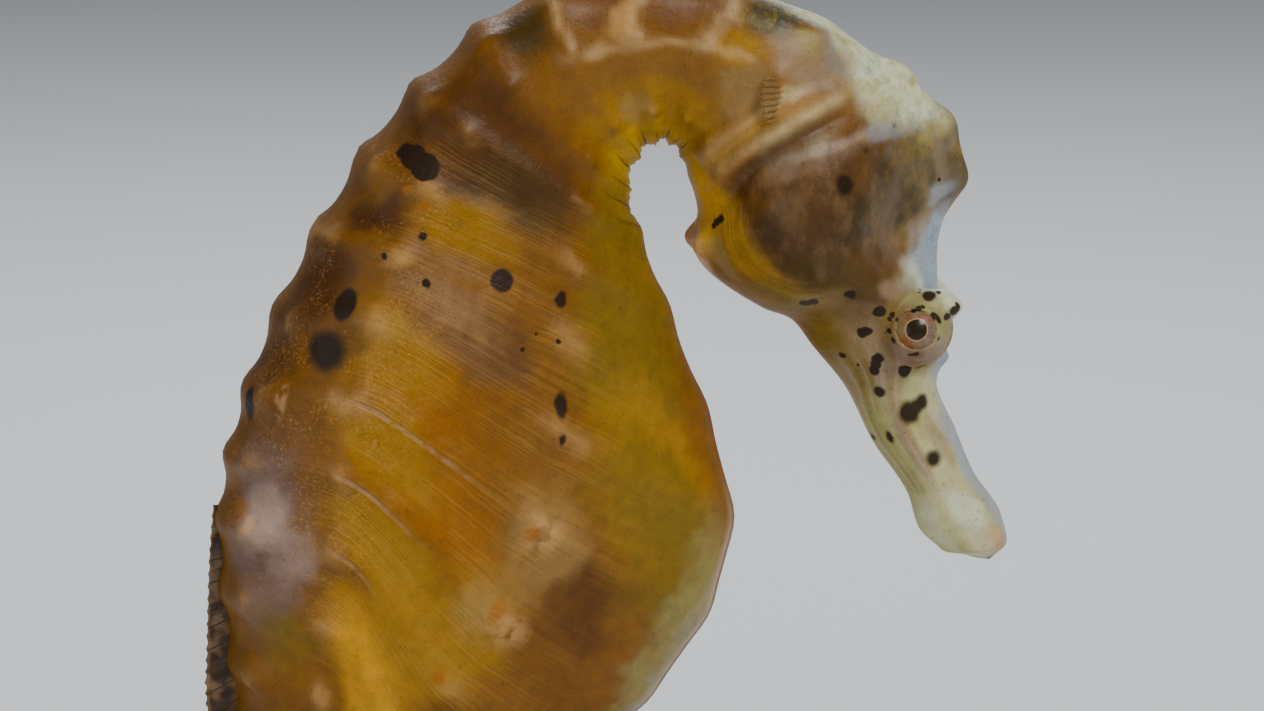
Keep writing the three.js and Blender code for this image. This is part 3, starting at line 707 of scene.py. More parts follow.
def face_outward(mesh, join_within=None):
    """Turns the faces outward, once coinciding points are joined. Counts the edges that stay open."""
    work = bmesh.new()
    work.from_mesh(mesh)
    if join_within is not None:
        bmesh.ops.remove_doubles(work, verts=work.verts, dist=join_within)
    bmesh.ops.recalc_face_normals(work, faces=work.faces)
    open_edges = sum(not edge.is_manifold for edge in work.edges)
    work.to_mesh(mesh)
    work.free()
    return open_edges


def store(mesh, name, values):
    """Keeps one number at each point of the mesh."""
    attribute = mesh.attributes.new(name, "FLOAT", "POINT")
    attribute.data.foreach_set("value", np.asarray(values, np.float32))


skin_mesh = mesh_from("skin", all_points, faces)
open_edges = face_outward(skin_mesh)
skin_mesh.shade_smooth()
store(skin_mesh, "ring", ring_value)
store(skin_mesh, "around", around_value)
skin = new_object("skin", skin_mesh)
triangles = sum(len(face) - 2 for face in faces)
print("skin:", triangles, "triangles, open edges:", open_edges, "top %.2f mm" % all_points[:, 2].max())

# %% The skin takes the place of the flesh
FLESH = ["snout", "head", "gill_cover_right", "gill_cover_left", "coronet", "neck_upper", "neck_lower",
         "trunk_upper", "trunk_middle", "trunk_lower", "tail_root", "tail_upper", "tail_middle", "tail_bend",
         "tail_coil_outer", "tail_coil_inner", "tail_tip"]
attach(skin, "root")
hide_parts(*FLESH)
print("flesh parts under the skin:", len(FLESH))

# %% [markdown]
# ## Broad colours
# The animal's colour changes from plate to plate: dark brown on the gill cover, yellow at the throat and
# low on the trunk, chalky on the nape and the brow, olive and cream along the snout. A painted picture
# could be wrapped round the body, but it would show a seam. These zones are laid on like airbrush passes
# over a brown ground instead, and kept as a colour at each point of the skin. Each pass has a colour, a
# place given as ring and around, a reach in both directions and a strength. A few passes paint light, not
# colour: a lilac highlight high on the gill cover, a white glint on the snout and a highlight on the top
# end of the neck fold. A slow waver of the places keeps the edges from looking ruled.

# %% Paints, as they look on a screen
CHALK, BLUE_WHITE, CREAM = (214, 220, 184), (152, 166, 178), (190, 186, 134)
OLIVE_CREAM, YELLOW_CREAM, SAND, BUFF = (148, 142, 84), (164, 156, 92), (156, 130, 80), (190, 144, 84)
BROWN, GOLD_BROWN, DARK_BROWN, DEEP_BROWN = (118, 74, 4), (130, 88, 24), (70, 44, 12), (76, 40, 0)
YELLOW, BRIGHT_YELLOW, THROAT_YELLOW = (158, 114, 0), (200, 142, 0), (172, 132, 2)
OLIVE, DARK_OLIVE, GREY_OLIVE, OLIVE_BROWN = (116, 92, 0), (62, 46, 8), (92, 80, 56), (82, 60, 12)
PURPLE_BROWN, PURPLE_GREY, LILAC = (112, 72, 34), (116, 90, 78), (190, 160, 144)
ORANGE, ROSE, MAUVE = (156, 92, 0), (204, 148, 104), (142, 116, 88)
UMBER, OYSTER, NECK_CREAM, FOLD_CREAM = (88, 58, 26), (146, 136, 108), (206, 170, 118), (204, 190, 142)
print("ground colour, linear:", [round(c, 3) for c in colour(*BROWN)[:3]])

# %% Passes on the head: paint, ring, around, reach along, reach round, strength
HEAD_PASSES = [
    (YELLOW_CREAM, -9.5, 0.6, 3.0, 0.5, 1.0), (CREAM, -10.4, 0.32, 1.6, 0.28, 0.9),
    (BLUE_WHITE, -9.6, 0.04, 2.4, 0.13, 0.8), (CREAM, -7.9, 0.2, 0.9, 0.16, 0.8),
    (MAUVE, -8.9, 0.44, 1.3, 0.08, 0.8), (MAUVE, -9.2, 0.22, 0.7, 0.06, 0.5),
    # (CHALK, -10.7, 0.3) is a painted highlight, a white glint on the snout near its tip.
    (OLIVE, -8.6, 0.76, 1.6, 0.07, 0.25), (CHALK, -10.7, 0.3, 0.4, 0.13, 0.8),
    (ROSE, -11.35, 0.18, 0.25, 0.1, 0.55), (ROSE, -11.7, 0.3, 0.2, 0.2, 0.3),
    (CREAM, -10.9, 0.62, 0.8, 0.2, 0.9), (CHALK, -11.8, 0.4, 0.2, 0.5, 0.4),
    (MAUVE, -6.2, 0.5, 1.6, 0.25, 0.9), (SAND, -5.8, 0.6, 1.0, 0.12, 0.5),
    (OLIVE, -6.3, 0.8, 1.2, 0.16, 0.8), (OLIVE, -6.9, 0.66, 0.6, 0.05, 0.5),
    (OLIVE_BROWN, -5.1, 0.52, 0.7, 0.14, 0.5), (UMBER, -5.0, 0.36, 0.4, 0.06, 0.5),
    (BLUE_WHITE, -7.0, 0.05, 0.8, 0.12, 0.8), (BLUE_WHITE, -4.1, 0.09, 1.9, 0.12, 1.0),
    (CHALK, -4.5, 0.19, 0.7, 0.05, 0.6), (CREAM, -5.5, 0.2, 0.35, 0.06, 0.8),
    (UMBER, -4.6, 0.38, 0.6, 0.12, 0.9), (OLIVE_BROWN, -4.3, 0.5, 0.6, 0.1, 0.7),
    (OLIVE, -5.75, 0.4, 0.35, 0.05, 0.6), (SAND, -6.4, 0.3, 0.4, 0.1, 0.6),
    (DARK_BROWN, -2.1, 0.4, 1.8, 0.26, 1.0), (OLIVE_BROWN, -4.1, 0.4, 0.8, 0.16, 0.9),
    (DARK_OLIVE, -2.6, 0.26, 1.2, 0.08, 0.9), (UMBER, -1.6, 0.44, 0.7, 0.1, 0.7),
    (UMBER, -2.7, 0.44, 0.6, 0.08, 0.5), (UMBER, -3.6, 0.32, 0.7, 0.09, 0.8),
    (OLIVE_BROWN, -3.6, 0.46, 0.8, 0.14, 0.8), (DARK_OLIVE, -3.0, 0.24, 0.7, 0.06, 0.8),
    (DEEP_BROWN, -1.0, 0.61, 0.6, 0.05, 0.8), (YELLOW, -2.7, 0.66, 1.3, 0.08, 0.9),
    (YELLOW, -1.4, 0.71, 0.7, 0.05, 0.6), (SAND, -2.3, 0.78, 0.7, 0.05, 0.6),
    (OLIVE, -3.9, 0.72, 0.8, 0.16, 0.7), (SAND, -4.4, 0.6, 0.5, 0.14, 0.4),
    (THROAT_YELLOW, -0.6, 0.86, 1.6, 0.14, 1.0), (ROSE, -2.05, 0.93, 0.5, 0.09, 0.9),
    # (MAUVE, -0.8, 0.42) and (LILAC, -0.66, 0.36) paint a highlight: the pale lilac sheen high on the gill
    # cover.
    (BUFF, -3.3, 0.96, 1.2, 0.05, 0.6), (MAUVE, -0.8, 0.42, 0.35, 0.16, 0.7),
    (UMBER, -1.3, 0.36, 0.5, 0.12, 0.6), (LILAC, -0.66, 0.36, 0.16, 0.1, 0.35),
    (BLUE_WHITE, -0.75, 0.22, 0.25, 0.06, 0.5), (GREY_OLIVE, -1.6, 0.1, 0.9, 0.12, 0.9),
    (SAND, -1.1, 0.1, 0.4, 0.08, 0.4), (BLUE_WHITE, -2.15, 0.12, 0.25, 0.05, 0.6),
    (SAND, -2.7, 0.155, 0.6, 0.03, 0.35), (GREY_OLIVE, -1.7, 0.19, 0.8, 0.05, 0.6),
    (SAND, -3.1, 0.2, 0.5, 0.03, 0.3), (MAUVE, -4.9, 0.28, 0.45, 0.07, 0.9),
    (OYSTER, -4.6, 0.22, 0.4, 0.05, 0.6), (CREAM, -10.9, 0.78, 0.8, 0.2, 0.9),
    # (OYSTER, -0.35, 0.42) adds to the painted highlight high on the gill cover.
    (OYSTER, -0.35, 0.42, 0.4, 0.1, 0.35), (BRIGHT_YELLOW, -0.5, 0.82, 0.8, 0.1, 0.6),
    (OLIVE, -4.9, 0.75, 0.7, 0.12, 0.5), (DARK_OLIVE, -2.3, 0.24, 0.9, 0.05, 0.6),
    (BROWN, -1.2, 0.55, 0.5, 0.06, 0.5), (CHALK, -10.8, 0.75, 0.6, 0.16, 0.35),
]
print("passes on the head:", len(HEAD_PASSES))

# %% Passes on the neck
NECK_PASSES = [
    (CHALK, 0.0, 0.1, 1.0, 0.13, 1.0), (CREAM, -0.3, 0.19, 0.3, 0.07, 0.7),
    (CHALK, 1.1, 0.03, 0.9, 0.08, 0.8), (MAUVE, 0.9, 0.25, 0.5, 0.12, 0.9), (SAND, 0.3, 0.6, 0.5, 0.2, 0.7),
    # (FOLD_CREAM, 0.6, 0.42) is a painted highlight on the top end of the neck fold.
    (BUFF, 0.45, 0.4, 0.3, 0.1, 0.6), (FOLD_CREAM, 0.6, 0.42, 0.12, 0.12, 0.5),
    (GOLD_BROWN, 2.5, 0.52, 2.1, 0.2, 0.9), (SAND, 1.2, 0.46, 0.5, 0.1, 0.5),
    (YELLOW, 2.8, 0.64, 2.0, 0.12, 0.7), (THROAT_YELLOW, 3.2, 0.88, 2.6, 0.18, 1.0),
    (YELLOW, 1.6, 0.33, 0.35, 0.1, 0.8), (DARK_OLIVE, 1.55, 0.15, 0.3, 0.12, 1.0),
    (PURPLE_BROWN, 2.5, 0.18, 0.36, 0.13, 1.0), (PURPLE_BROWN, 3.5, 0.18, 0.36, 0.13, 1.0),
    (DARK_OLIVE, 4.5, 0.2, 0.38, 0.14, 0.9), (BUFF, 3.15, 0.28, 0.22, 0.09, 0.8),
    (SAND, 3.4, 0.66, 0.5, 0.08, 0.4),
]
print("passes on the neck:", len(NECK_PASSES))

# %% Passes on the trunk
TRUNK_PASSES = [
    (DEEP_BROWN, 6.0, 0.4, 1.1, 0.32, 0.9), (DARK_OLIVE, 6.4, 0.52, 0.7, 0.12, 0.6),
    (OLIVE, 6.2, 0.86, 1.6, 0.16, 0.8), (DEEP_BROWN, 7.5, 0.24, 0.36, 0.1, 1.0),
    (BROWN, 7.4, 0.5, 0.6, 0.14, 0.8), (BUFF, 7.98, 0.06, 0.15, 0.08, 0.5),
    (YELLOW, 7.2, 0.46, 0.5, 0.1, 0.6), (PURPLE_BROWN, 8.45, 0.48, 0.5, 0.13, 1.0),
    (UMBER, 8.5, 0.56, 0.35, 0.07, 0.6), (MAUVE, 8.3, 0.46, 0.25, 0.08, 0.3),
    (DEEP_BROWN, 8.6, 0.16, 0.6, 0.12, 0.9), (OLIVE, 7.9, 0.78, 0.9, 0.1, 0.9),
    (YELLOW, 8.9, 0.82, 0.8, 0.1, 0.8), (ORANGE, 9.5, 0.5, 0.5, 0.16, 0.6),
    (BROWN, 9.5, 0.62, 0.5, 0.1, 0.7), (YELLOW, 9.2, 0.4, 0.6, 0.1, 0.7),
    (BROWN, 10.4, 0.27, 0.4, 0.06, 0.8), (DEEP_BROWN, 9.6, 0.1, 0.5, 0.1, 0.7),
    (ORANGE, 10.5, 0.52, 0.48, 0.16, 0.6), (YELLOW, 10.3, 0.44, 0.5, 0.09, 0.8),
    (OLIVE, 9.6, 0.87, 0.8, 0.08, 0.8), (DEEP_BROWN, 10.5, 0.78, 0.5, 0.06, 0.7),
    (GOLD_BROWN, 10.1, 0.68, 0.9, 0.08, 0.6), (YELLOW, 11.5, 0.48, 0.5, 0.15, 0.9),
    (BRIGHT_YELLOW, 13.0, 0.52, 0.9, 0.16, 0.9), (YELLOW, 12.1, 0.56, 0.6, 0.12, 0.7),
    (BROWN, 11.6, 0.8, 0.6, 0.08, 0.6), (YELLOW, 11.4, 0.66, 0.8, 0.08, 0.8),
    (SAND, 11.0, 0.66, 0.4, 0.05, 0.4), (PURPLE_GREY, 12.0, 0.2, 1.5, 0.11, 0.9),
    (PURPLE_GREY, 10.9, 0.17, 0.3, 0.09, 0.6), (LILAC, 11.7, 0.2, 0.5, 0.07, 0.45),
    (LILAC, 12.2, 0.28, 0.4, 0.06, 0.35), (OLIVE, 13.4, 0.26, 0.5, 0.08, 0.7),
    (ORANGE, 11.75, 0.12, 0.16, 0.04, 0.7), (BROWN, 14.8, 0.3, 1.3, 0.3, 0.7),
    (SAND, 10.6, 0.98, 1.8, 0.035, 0.9), (OLIVE_CREAM, 10.4, 0.93, 1.4, 0.05, 0.6),
    (OYSTER, 10.7, 0.955, 1.1, 0.03, 0.7), (GOLD_BROWN, 7.1, 0.2, 0.4, 0.07, 0.6),
    (OLIVE, 9.1, 0.8, 0.6, 0.08, 0.7), (DEEP_BROWN, 9.25, 0.31, 0.4, 0.06, 0.6),
    (LILAC, 11.8, 0.2, 0.4, 0.06, 0.45), (BUFF, 8.2, 0.49, 0.4, 0.08, 0.2),
    (SAND, 10.1, 0.7, 0.6, 0.06, 0.35),
]
print("passes on the trunk:", len(TRUNK_PASSES))

# %% A slow waver for the edges of the paint
LATTICE_VALUES = 4096
LATTICE_STRIDES = (73, 179, 283)


def waver(points, scale, seed):
    """A slow random value for each place, from -0.5 to 0.5: random corners of a lattice, blended."""
    table = np.random.default_rng(seed).random(LATTICE_VALUES) - 0.5
    cell = np.floor(points * scale).astype(int)
    t = smooth(points * scale - cell)
    value = np.zeros(len(points))
    for corner in np.ndindex(2, 2, 2):
        weight = np.prod(np.where(corner, t, 1 - t), axis=1)
        value += weight * table[((cell + corner) @ LATTICE_STRIDES) % LATTICE_VALUES]
    return value


one_side = all_points.copy()
one_side[:, 1] = np.abs(one_side[:, 1])
paint_ring = ring_value + 0.26 * waver(one_side, 0.33, seed=1) + 0.16 * waver(one_side, 1.1, seed=5)
paint_around = around_value + 0.045 * waver(one_side, 0.4, seed=2) + 0.03 * waver(one_side, 1.1, seed=6)
print("paint wanders by up to %.2f rings" % np.abs(paint_ring - ring_value).max())


# %% Ground colours and airbrush passes
def lay(ground, *coats):
    """Lays coats of (paint, mask) over the ground, one after the other."""
    for paint, mask in coats:
        paint = np.array(colour(*paint)[:3])
        ground = ground + (paint - ground) * np.clip(mask, 0, 1)[:, None]
    return ground


tail_part = smooth((ring_value - 15) / 3)
flesh = lay(
    np.zeros((len(all_points), 3)),
    (BROWN, np.ones(len(all_points))),
    (YELLOW, tail_part * (0.5 + 0.5 * waver(one_side, 0.2, seed=3))),
    (SAND, tail_part * smooth((around_value - 0.7) / 0.2) * 0.6),
    (DEEP_BROWN, tail_part * smooth(0.4 + 2.4 * waver(one_side, 0.11, seed=8)) * 0.6),
    (PURPLE_BROWN, tail_part * smooth((0.3 - around_value) / 0.2) * 0.5))
PASS_EDGE, PASS_FADE = 1.3, 0.75
for paint, ring, around, reach_along, reach_round, strength in HEAD_PASSES + NECK_PASSES + TRUNK_PASSES:
    away = np.hypot((paint_ring - ring) / reach_along, (paint_around - around) / reach_round)
    flesh = lay(flesh, (paint, strength * smooth((PASS_EDGE - away) / PASS_FADE)))
print("mean colour after the passes, linear:", np.round(flesh.mean(axis=0), 3))

# %% [markdown]
# ## Edges and crests
# Where two bony rings meet, the skin lies over a ridge of bone and is paler: on the neck the edges frame
# dark cells like leading in a window. The knobs of the ridges and the crest of each brow spine are pale too.
# The folds behind the gill cover are pale, partly in their own buff colour and partly as a painted highlight
# along their crests. The groove between them is orange, and the brown along the groove under the gill fold
# is painted shadow. All of them are painted from the same lines that shaped them, so paint and form can't
# drift apart.

# %% Pale edges and knobs of the rings
to_edge = np.abs(paint_ring - np.round(paint_ring))
uneven = 0.65 + 0.7 * waver(one_side, 0.9, seed=4)
neck_part = between(ring_value, 1.4, 0.3, 4.8, 0.5) * smooth((0.42 - around_value) / 0.1)
neck_edge = bell(to_edge, 0.075) * neck_part
neck_crest = bell(paint_around - 0.375, 0.024) * between(ring_value, 1.2, 0.4, 4.4, 0.8)
flank_crest = bell(paint_around - 0.365, 0.02) * between(ring_value, 6.5, 1, 14, 2)
tail_bars = bell(to_edge, 0.18) * tail_part * smooth((0.75 - around_value) / 0.1)
flesh = lay(
    flesh, (NECK_CREAM, 0.7 * neck_edge * uneven), (NECK_CREAM, 0.7 * neck_crest * uneven),
    (BUFF, 0.16 * flank_crest * uneven), (BUFF, 0.5 * tail_bars))
for crest_around, strength in ((RIDGES[2], 0.75), (RIDGES[1], 0.5), (RIDGES[3], 0.55)):
    knob = bell(to_edge, 0.12) * bell(paint_around - crest_around, 0.03)
    flesh = lay(flesh, (BUFF, strength * knob * smooth(ring_value - 5.5) * (0.6 + uneven / 2)))
print("points on a ring's edge:", int((to_edge < 0.1).sum()))

# %% Folds, gill opening and brow spine
FOLD_PAINTS = [  # fold, paint, half-width in mm, strength
    # Pale paint on GILL_FOLD and NECK_FOLD: partly skin colour, partly painted highlight on the crests.
    # UMBER on GILL_GROOVE is painted shadow under the gill fold.
    (FOLD_GROOVE, YELLOW, 0.6, 0.8), (GILL_GROOVE, UMBER, 0.7, 0.85), (GILL_FOLD, BUFF, 0.8, 0.42),
    (GILL_FOLD[3:], FOLD_CREAM, 0.7, 0.42), (NECK_FOLD, BUFF, 0.8, 0.45), (CHEEK_FOLD, SAND, 0.5, 0.3),
]
for keys, paint, half_width, strength in FOLD_PAINTS:
    gap, share = distance_to_line(one_side, np.array([sculpted_place(*key) for key in keys]))
    flesh = lay(flesh, (paint, strength * bell(gap, half_width) * taper(share) * (0.55 + 0.7 * uneven)))
from_tube = np.linalg.norm(one_side - TUBE_PLACE, axis=1)
from_brow = np.linalg.norm(one_side - (BROW_ROOT + BROW_DIRECTION * BROW_LENGTH), axis=1)
flesh = lay(flesh, (FOLD_CREAM, 0.7 * bell(from_tube, 1.0)), (CHALK, smooth((2.0 - from_brow) / 0.8) * 0.7))
print("painted folds:", len(FOLD_PAINTS))

# %% Lids and keel
LID_PAINT_REACH = 3.4
from_eye = one_side - EYE_CENTRE
facing, across, rise = from_eye @ gaze, from_eye @ eye_ahead, from_eye @ eye_above
lid_part = smooth((LID_PAINT_REACH - np.hypot(across, rise)) / 0.9) * (facing > 0)
keel_part = between(ring_value, 8.5, 1, 14, 1)
flesh = lay(
    flesh, (MAUVE, lid_part * 0.8), (OYSTER, lid_part * smooth(across / 1.6)),
    (OLIVE, lid_part * smooth(-across / 2) * 0.7),
    (OLIVE_CREAM, lid_part * smooth((rise + across - 0.4) / 2) * 0.8),
    (PURPLE_GREY, lid_part * smooth(-rise / 2) * 0.5),
    (LILAC, bell(around_value - 0.978, 0.012) * keel_part * 0.7),
    (DEEP_BROWN, bell(1 - around_value, 0.011) * keel_part))
base_colour = skin_mesh.color_attributes.new("flesh", "FLOAT_COLOR", "POINT")
with_alpha = np.column_stack([flesh, np.ones(len(flesh))]).astype(np.float32)
base_colour.data.foreach_set("color", with_alpha.ravel())
print("colour stored at", len(flesh), "points")

# %% [markdown]
# ## Dark spots
# Round black-brown spots are the mark of this species. A spot is too crisp for colours stored at the mesh
# points, so it is drawn in the material: the distance from its centre, then a soft threshold. One shader
# group does that, and takes the mask so far, so that a row of groups makes one mask. All spots read the
# object's own coordinates with Y made positive, so both sides carry them.

# %% Spots of the head: ring, around, radius in mm, stretch along the body, softness in mm
HEAD_SPOTS = [
    (-4.33, 0.68, 0.54, 1.0, 0.1), (-4.37, 0.645, 0.46, 1.0, 0.1), (-4.58, 0.485, 0.46, 1.0, 0.1),
    (-4.72, 0.495, 0.24, 1.0, 0.1), (-5.45, 0.42, 0.52, 1.0, 0.08), (-5.91, 0.56, 0.5, 1.0, 0.08),
    (-5.9, 0.535, 0.5, 1.0, 0.08), (-6.7, 0.54, 0.52, 1.0, 0.1), (-6.84, 0.565, 0.47, 1.0, 0.1),
    (-6.97, 0.59, 0.45, 1.0, 0.1), (-7.56, 0.58, 0.48, 1.0, 0.14), (-6.35, 0.77, 0.3, 1.0, 0.08),
    (-6.68, 0.7, 0.14, 1.0, 0.06), (-8.38, 0.325, 0.98, 1.0, 0.32), (-8.22, 0.225, 0.66, 1.0, 0.28),
    (-8.3, 0.27, 0.7, 1.0, 0.3), (-9.49, 0.32, 0.66, 1.0, 0.32), (-8.62, 0.64, 0.26, 2.2, 0.12),
    (-8.4, 0.9, 0.3, 1.0, 0.2), (-7.2, 0.345, 0.58, 1.4, 0.12), (-7.1, 0.265, 0.46, 1.0, 0.3),
    (-5.52, 0.174, 0.42, 1.0, 0.12), (-5.0, 0.2, 0.56, 1.0, 0.14), (-4.97, 0.18, 0.26, 1.0, 0.1),
    (-4.8, 0.18, 0.13, 1.0, 0.05), (-4.88, 0.2, 0.12, 1.0, 0.05), (-5.62, 0.18, 0.34, 1.0, 0.1),
    (-5.5, 0.17, 0.34, 1.0, 0.1), (-5.4, 0.166, 0.32, 1.0, 0.1), (-5.6, 0.36, 0.26, 1.0, 0.06),
    (-5.72, 0.385, 0.2, 1.0, 0.06), (-6.0, 0.41, 0.28, 1.0, 0.06), (-1.48, 0.337, 0.82, 1.0, 0.34),
    (-1.38, 0.745, 0.4, 1.0, 0.12), (-1.42, 0.765, 0.34, 1.0, 0.12), (-1.5, 0.78, 0.28, 1.0, 0.1),
    (-1.85, 0.13, 0.16, 1.0, 0.06), (-1.0, 0.28, 0.16, 1.0, 0.36),
]
print("spots on each side of the head:", len(HEAD_SPOTS))

# %% Spots and marks of the trunk and tail
TRUNK_SPOTS = [
    (6.65, 0.215, 0.72, 1.0, 0.12), (6.66, 0.265, 1.05, 1.0, 0.12), (6.71, 0.32, 1.16, 1.0, 0.12),
    (7.72, 0.55, 0.92, 1.0, 0.14), (7.6, 0.66, 0.52, 1.3, 0.12), (8.1, 0.66, 0.24, 1.0, 0.08),
    (8.4, 0.6, 0.18, 1.0, 0.1), (8.15, 0.62, 0.14, 1.0, 0.08), (8.75, 0.67, 0.56, 1.9, 0.18),
    (9.08, 0.675, 0.26, 2.0, 0.14), (7.62, 0.395, 0.34, 1.0, 0.1), (8.08, 0.33, 0.26, 1.0, 0.08),
    (8.22, 0.43, 0.38, 1.0, 0.12), (8.8, 0.28, 0.9, 1.5, 0.16), (9.4, 0.27, 1.6, 1.0, 0.6),
    (10.15, 0.08, 0.8, 1.7, 0.2), (14.2, 0.42, 0.6, 1.3, 0.2), (16.4, 0.3, 0.7, 1.2, 0.2),
    (18.6, 0.5, 0.5, 1.0, 0.15), (21.2, 0.34, 0.55, 1.0, 0.15), (24.5, 0.55, 0.45, 1.0, 0.12),
    (28.4, 0.4, 0.42, 1.0, 0.12), (33.5, 0.5, 0.35, 1.0, 0.1),
]
RUST_MARKS = [
    (10.1, 0.67, 0.65, 1.0, 0.35), (10.95, 0.675, 0.6, 2.0, 0.4), (11.95, 0.655, 0.6, 1.0, 0.35),
    (7.08, 0.31, 0.4, 0.7, 0.2), (7.2, 0.37, 0.4, 1.2, 0.2),
]
PALE_MARKS = [
    (10.05, 0.2, 0.5, 4.0, 0.2), (11.85, 0.17, 0.5, 1.5, 0.2), (10.05, 0.69, 1.5, 1.0, 1.0),
    (11.05, 0.71, 1.4, 1.0, 1.0),
]
print("spots on each side of the trunk and tail:", len(TRUNK_SPOTS), "rust marks:", len(RUST_MARKS))

# %% [markdown]
# A material is a net of nodes, and a formula in it takes many small ones. They could be placed by hand in
# the shader editor, but a script can be read and changed in one place. So a few helpers come first: each
# adds a node and gives back its output, and a sum in this script then reads like a sum on paper.

# %% Helpers that add a node
def node(tree, kind, inputs=None, **settings):
    """Adds a node, sets its options, and fills its inputs."""
    made = tree.nodes.new(kind)
    for key, value in settings.items():
        setattr(made, key, value)
    fill(tree, made, inputs or {})
    return made


def math_node(tree, operation, a, b=0.0, c=0.0):
    return node(tree, "ShaderNodeMath", {0: a, 1: b, 2: c}, operation=operation).outputs[0]


def vector_node(tree, operation, a, b=(0.0, 0.0, 0.0), scale=1.0):
    inputs = {0: a, "Scale": scale} if operation == "SCALE" else {0: a, 1: b}
    made = node(tree, "ShaderNodeVectorMath", inputs, operation=operation)
    return made.outputs["Value" if operation in ("LENGTH", "DISTANCE", "DOT_PRODUCT") else "Vector"]


def product(tree, *factors):
    result = factors[0]
    for factor in factors[1:]:
        result = math_node(tree, "MULTIPLY", result, factor)
    return result


def ramp(tree, value, start, end):
    """0 at the start, 1 at the end, with a soft S between. The start may be the larger of the two."""
    inputs = {0: value, 1: start, 2: end}
    return node(tree, "ShaderNodeMapRange", inputs, interpolation_type="SMOOTHSTEP").outputs[0]


print("spots to draw on each side:", len(HEAD_SPOTS) + len(TRUNK_SPOTS))

# %% Shader groups for a round and a long spot
VECTOR, FLOAT = "NodeSocketVector", "NodeSocketFloat"
COMMON = [("Place", VECTOR, (0, 0, 0)), ("Centre", VECTOR, (0, 0, 0)), ("Radius", FLOAT, 0.001),
          ("Softness", FLOAT, 0.0001), ("So far", FLOAT, 0.0)]
STRETCH = [("Along", VECTOR, (0, 0, 1)), ("Squeeze", FLOAT, 0.0)]


def group(name, inputs, outputs):
    """A shader group with named sockets. Gives its tree, what it takes in and what it gives out."""
    tree = bpy.data.node_groups.new(name, "ShaderNodeTree")
    for socket, kind, default in inputs:
        tree.interface.new_socket(socket, in_out="INPUT", socket_type=kind).default_value = default
    for socket, kind in outputs:
        tree.interface.new_socket(socket, in_out="OUTPUT", socket_type=kind)
    return tree, tree.nodes.new("NodeGroupInput").outputs, tree.nodes.new("NodeGroupOutput").inputs


def soft_disc(tree, inside, distance, outlet):
    """Joins the disc of this distance to the mask so far."""
    outer = math_node(tree, "ADD", inside["Radius"], inside["Softness"])
    inner = math_node(tree, "SUBTRACT", inside["Radius"], inside["Softness"])
    disc = ramp(tree, distance, outer, inner)
    tree.links.new(math_node(tree, "MAXIMUM", disc, inside["So far"]), outlet["Mask"])


round_spot, inlet, outlet = group("round spot", COMMON, [("Mask", FLOAT)])
soft_disc(round_spot, inlet, vector_node(round_spot, "DISTANCE", inlet["Place"], inlet["Centre"]), outlet)

long_spot, inlet, outlet = group("long spot", COMMON + STRETCH, [("Mask", FLOAT)])
away = vector_node(long_spot, "SUBTRACT", inlet["Place"], inlet["Centre"])
run = vector_node(long_spot, "DOT_PRODUCT", away, inlet["Along"])
too_long = vector_node(long_spot, "SCALE", inlet["Along"], scale=product(long_spot, run, inlet["Squeeze"]))
squeezed = vector_node(long_spot, "SUBTRACT", away, too_long)
soft_disc(long_spot, inlet, vector_node(long_spot, "LENGTH", squeezed), outlet)
print("spot groups:", len(round_spot.nodes), "and", len(long_spot.nodes), "nodes")


# %% Rows of spots, each added to the mask so far
def add_spot(tree, kind, mask, values):
    """Places one spot group: lengths are in millimetres."""
    inputs = {key: value * MM if key in ("Radius", "Softness") else value for key, value in values.items()}
    inputs["Centre"] = (values["Centre"] * MM).tolist()
    if mask is not None:
        inputs["So far"] = mask
    made = node(tree, "ShaderNodeGroup", node_tree=kind)
    fill(tree, made, inputs)
    return made.outputs["Mask"]


def spot_mask(tree, place, spots, mask=None):
    """Spots on the skin, given by ring and around."""
    for ring, around, radius, stretch, softness in spots:
        kind, values = round_spot, {"Place": place, "Radius": radius, "Softness": softness}
        values["Centre"] = sculpted_place(ring, around)
        if stretch != 1.0:
            kind = long_spot
            values["Along"] = unit(skin_place(ring + 0.1, around) - skin_place(ring - 0.1, around)).tolist()
            values["Squeeze"] = 1 - 1 / stretch
        mask = add_spot(tree, kind, mask, values)
    return mask


# %% Marks round the eye: degrees from straight ahead, distance from the pupil's middle, radius, in mm
EYE_MARKS = [
    (176, 2.25, 0.2), (184, 2.3, 0.22), (205, 1.95, 0.27), (150, 1.7, 0.15), (268, 1.92, 0.28),
    (258, 2.0, 0.18), (338, 1.9, 0.2), (40, 1.85, 0.3), (33, 1.86, 0.36), (25, 1.9, 0.32), (74, 1.85, 0.24),
    (85, 1.68, 0.3), (99, 1.54, 0.25),
]
ORANGE_MARKS = [(62, 1.2, 0.3), (36, 1.35, 0.22), (228, 1.25, 0.3), (252, 1.4, 0.26), (120, 1.3, 0.16)]


def spoke(turn):
    """The direction at this angle round the line of sight."""
    return eye_ahead * math.cos(turn) + eye_above * math.sin(turn)


def eye_marks(tree, place, marks, softness, lift=0.0, mask=None):
    """Round marks on the ball, or on the lid that lies over it."""
    for degrees, out, radius in marks:
        height = math.sqrt(max(EYE_RADIUS**2 - out**2, 0)) + lift
        centre = EYE_CENTRE + gaze * height + spoke(math.radians(degrees)) * out
        values = {"Place": place, "Centre": centre, "Radius": radius, "Softness": softness}
        mask = add_spot(tree, round_spot, mask, values)
    return mask


print("marks round each eye:", len(EYE_MARKS) + len(ORANGE_MARKS))

# %% [markdown]
# ## One pattern for both sides, and growth lines
# Both sides of the animal share one pattern, so a group folds the left side onto the right. It also gives
# a slightly wavered copy of the place, which keeps every drawn edge from being a perfect curve. The other
# group draws the fine, broken lines of growth: noise that changes fast across the lines and slowly along.

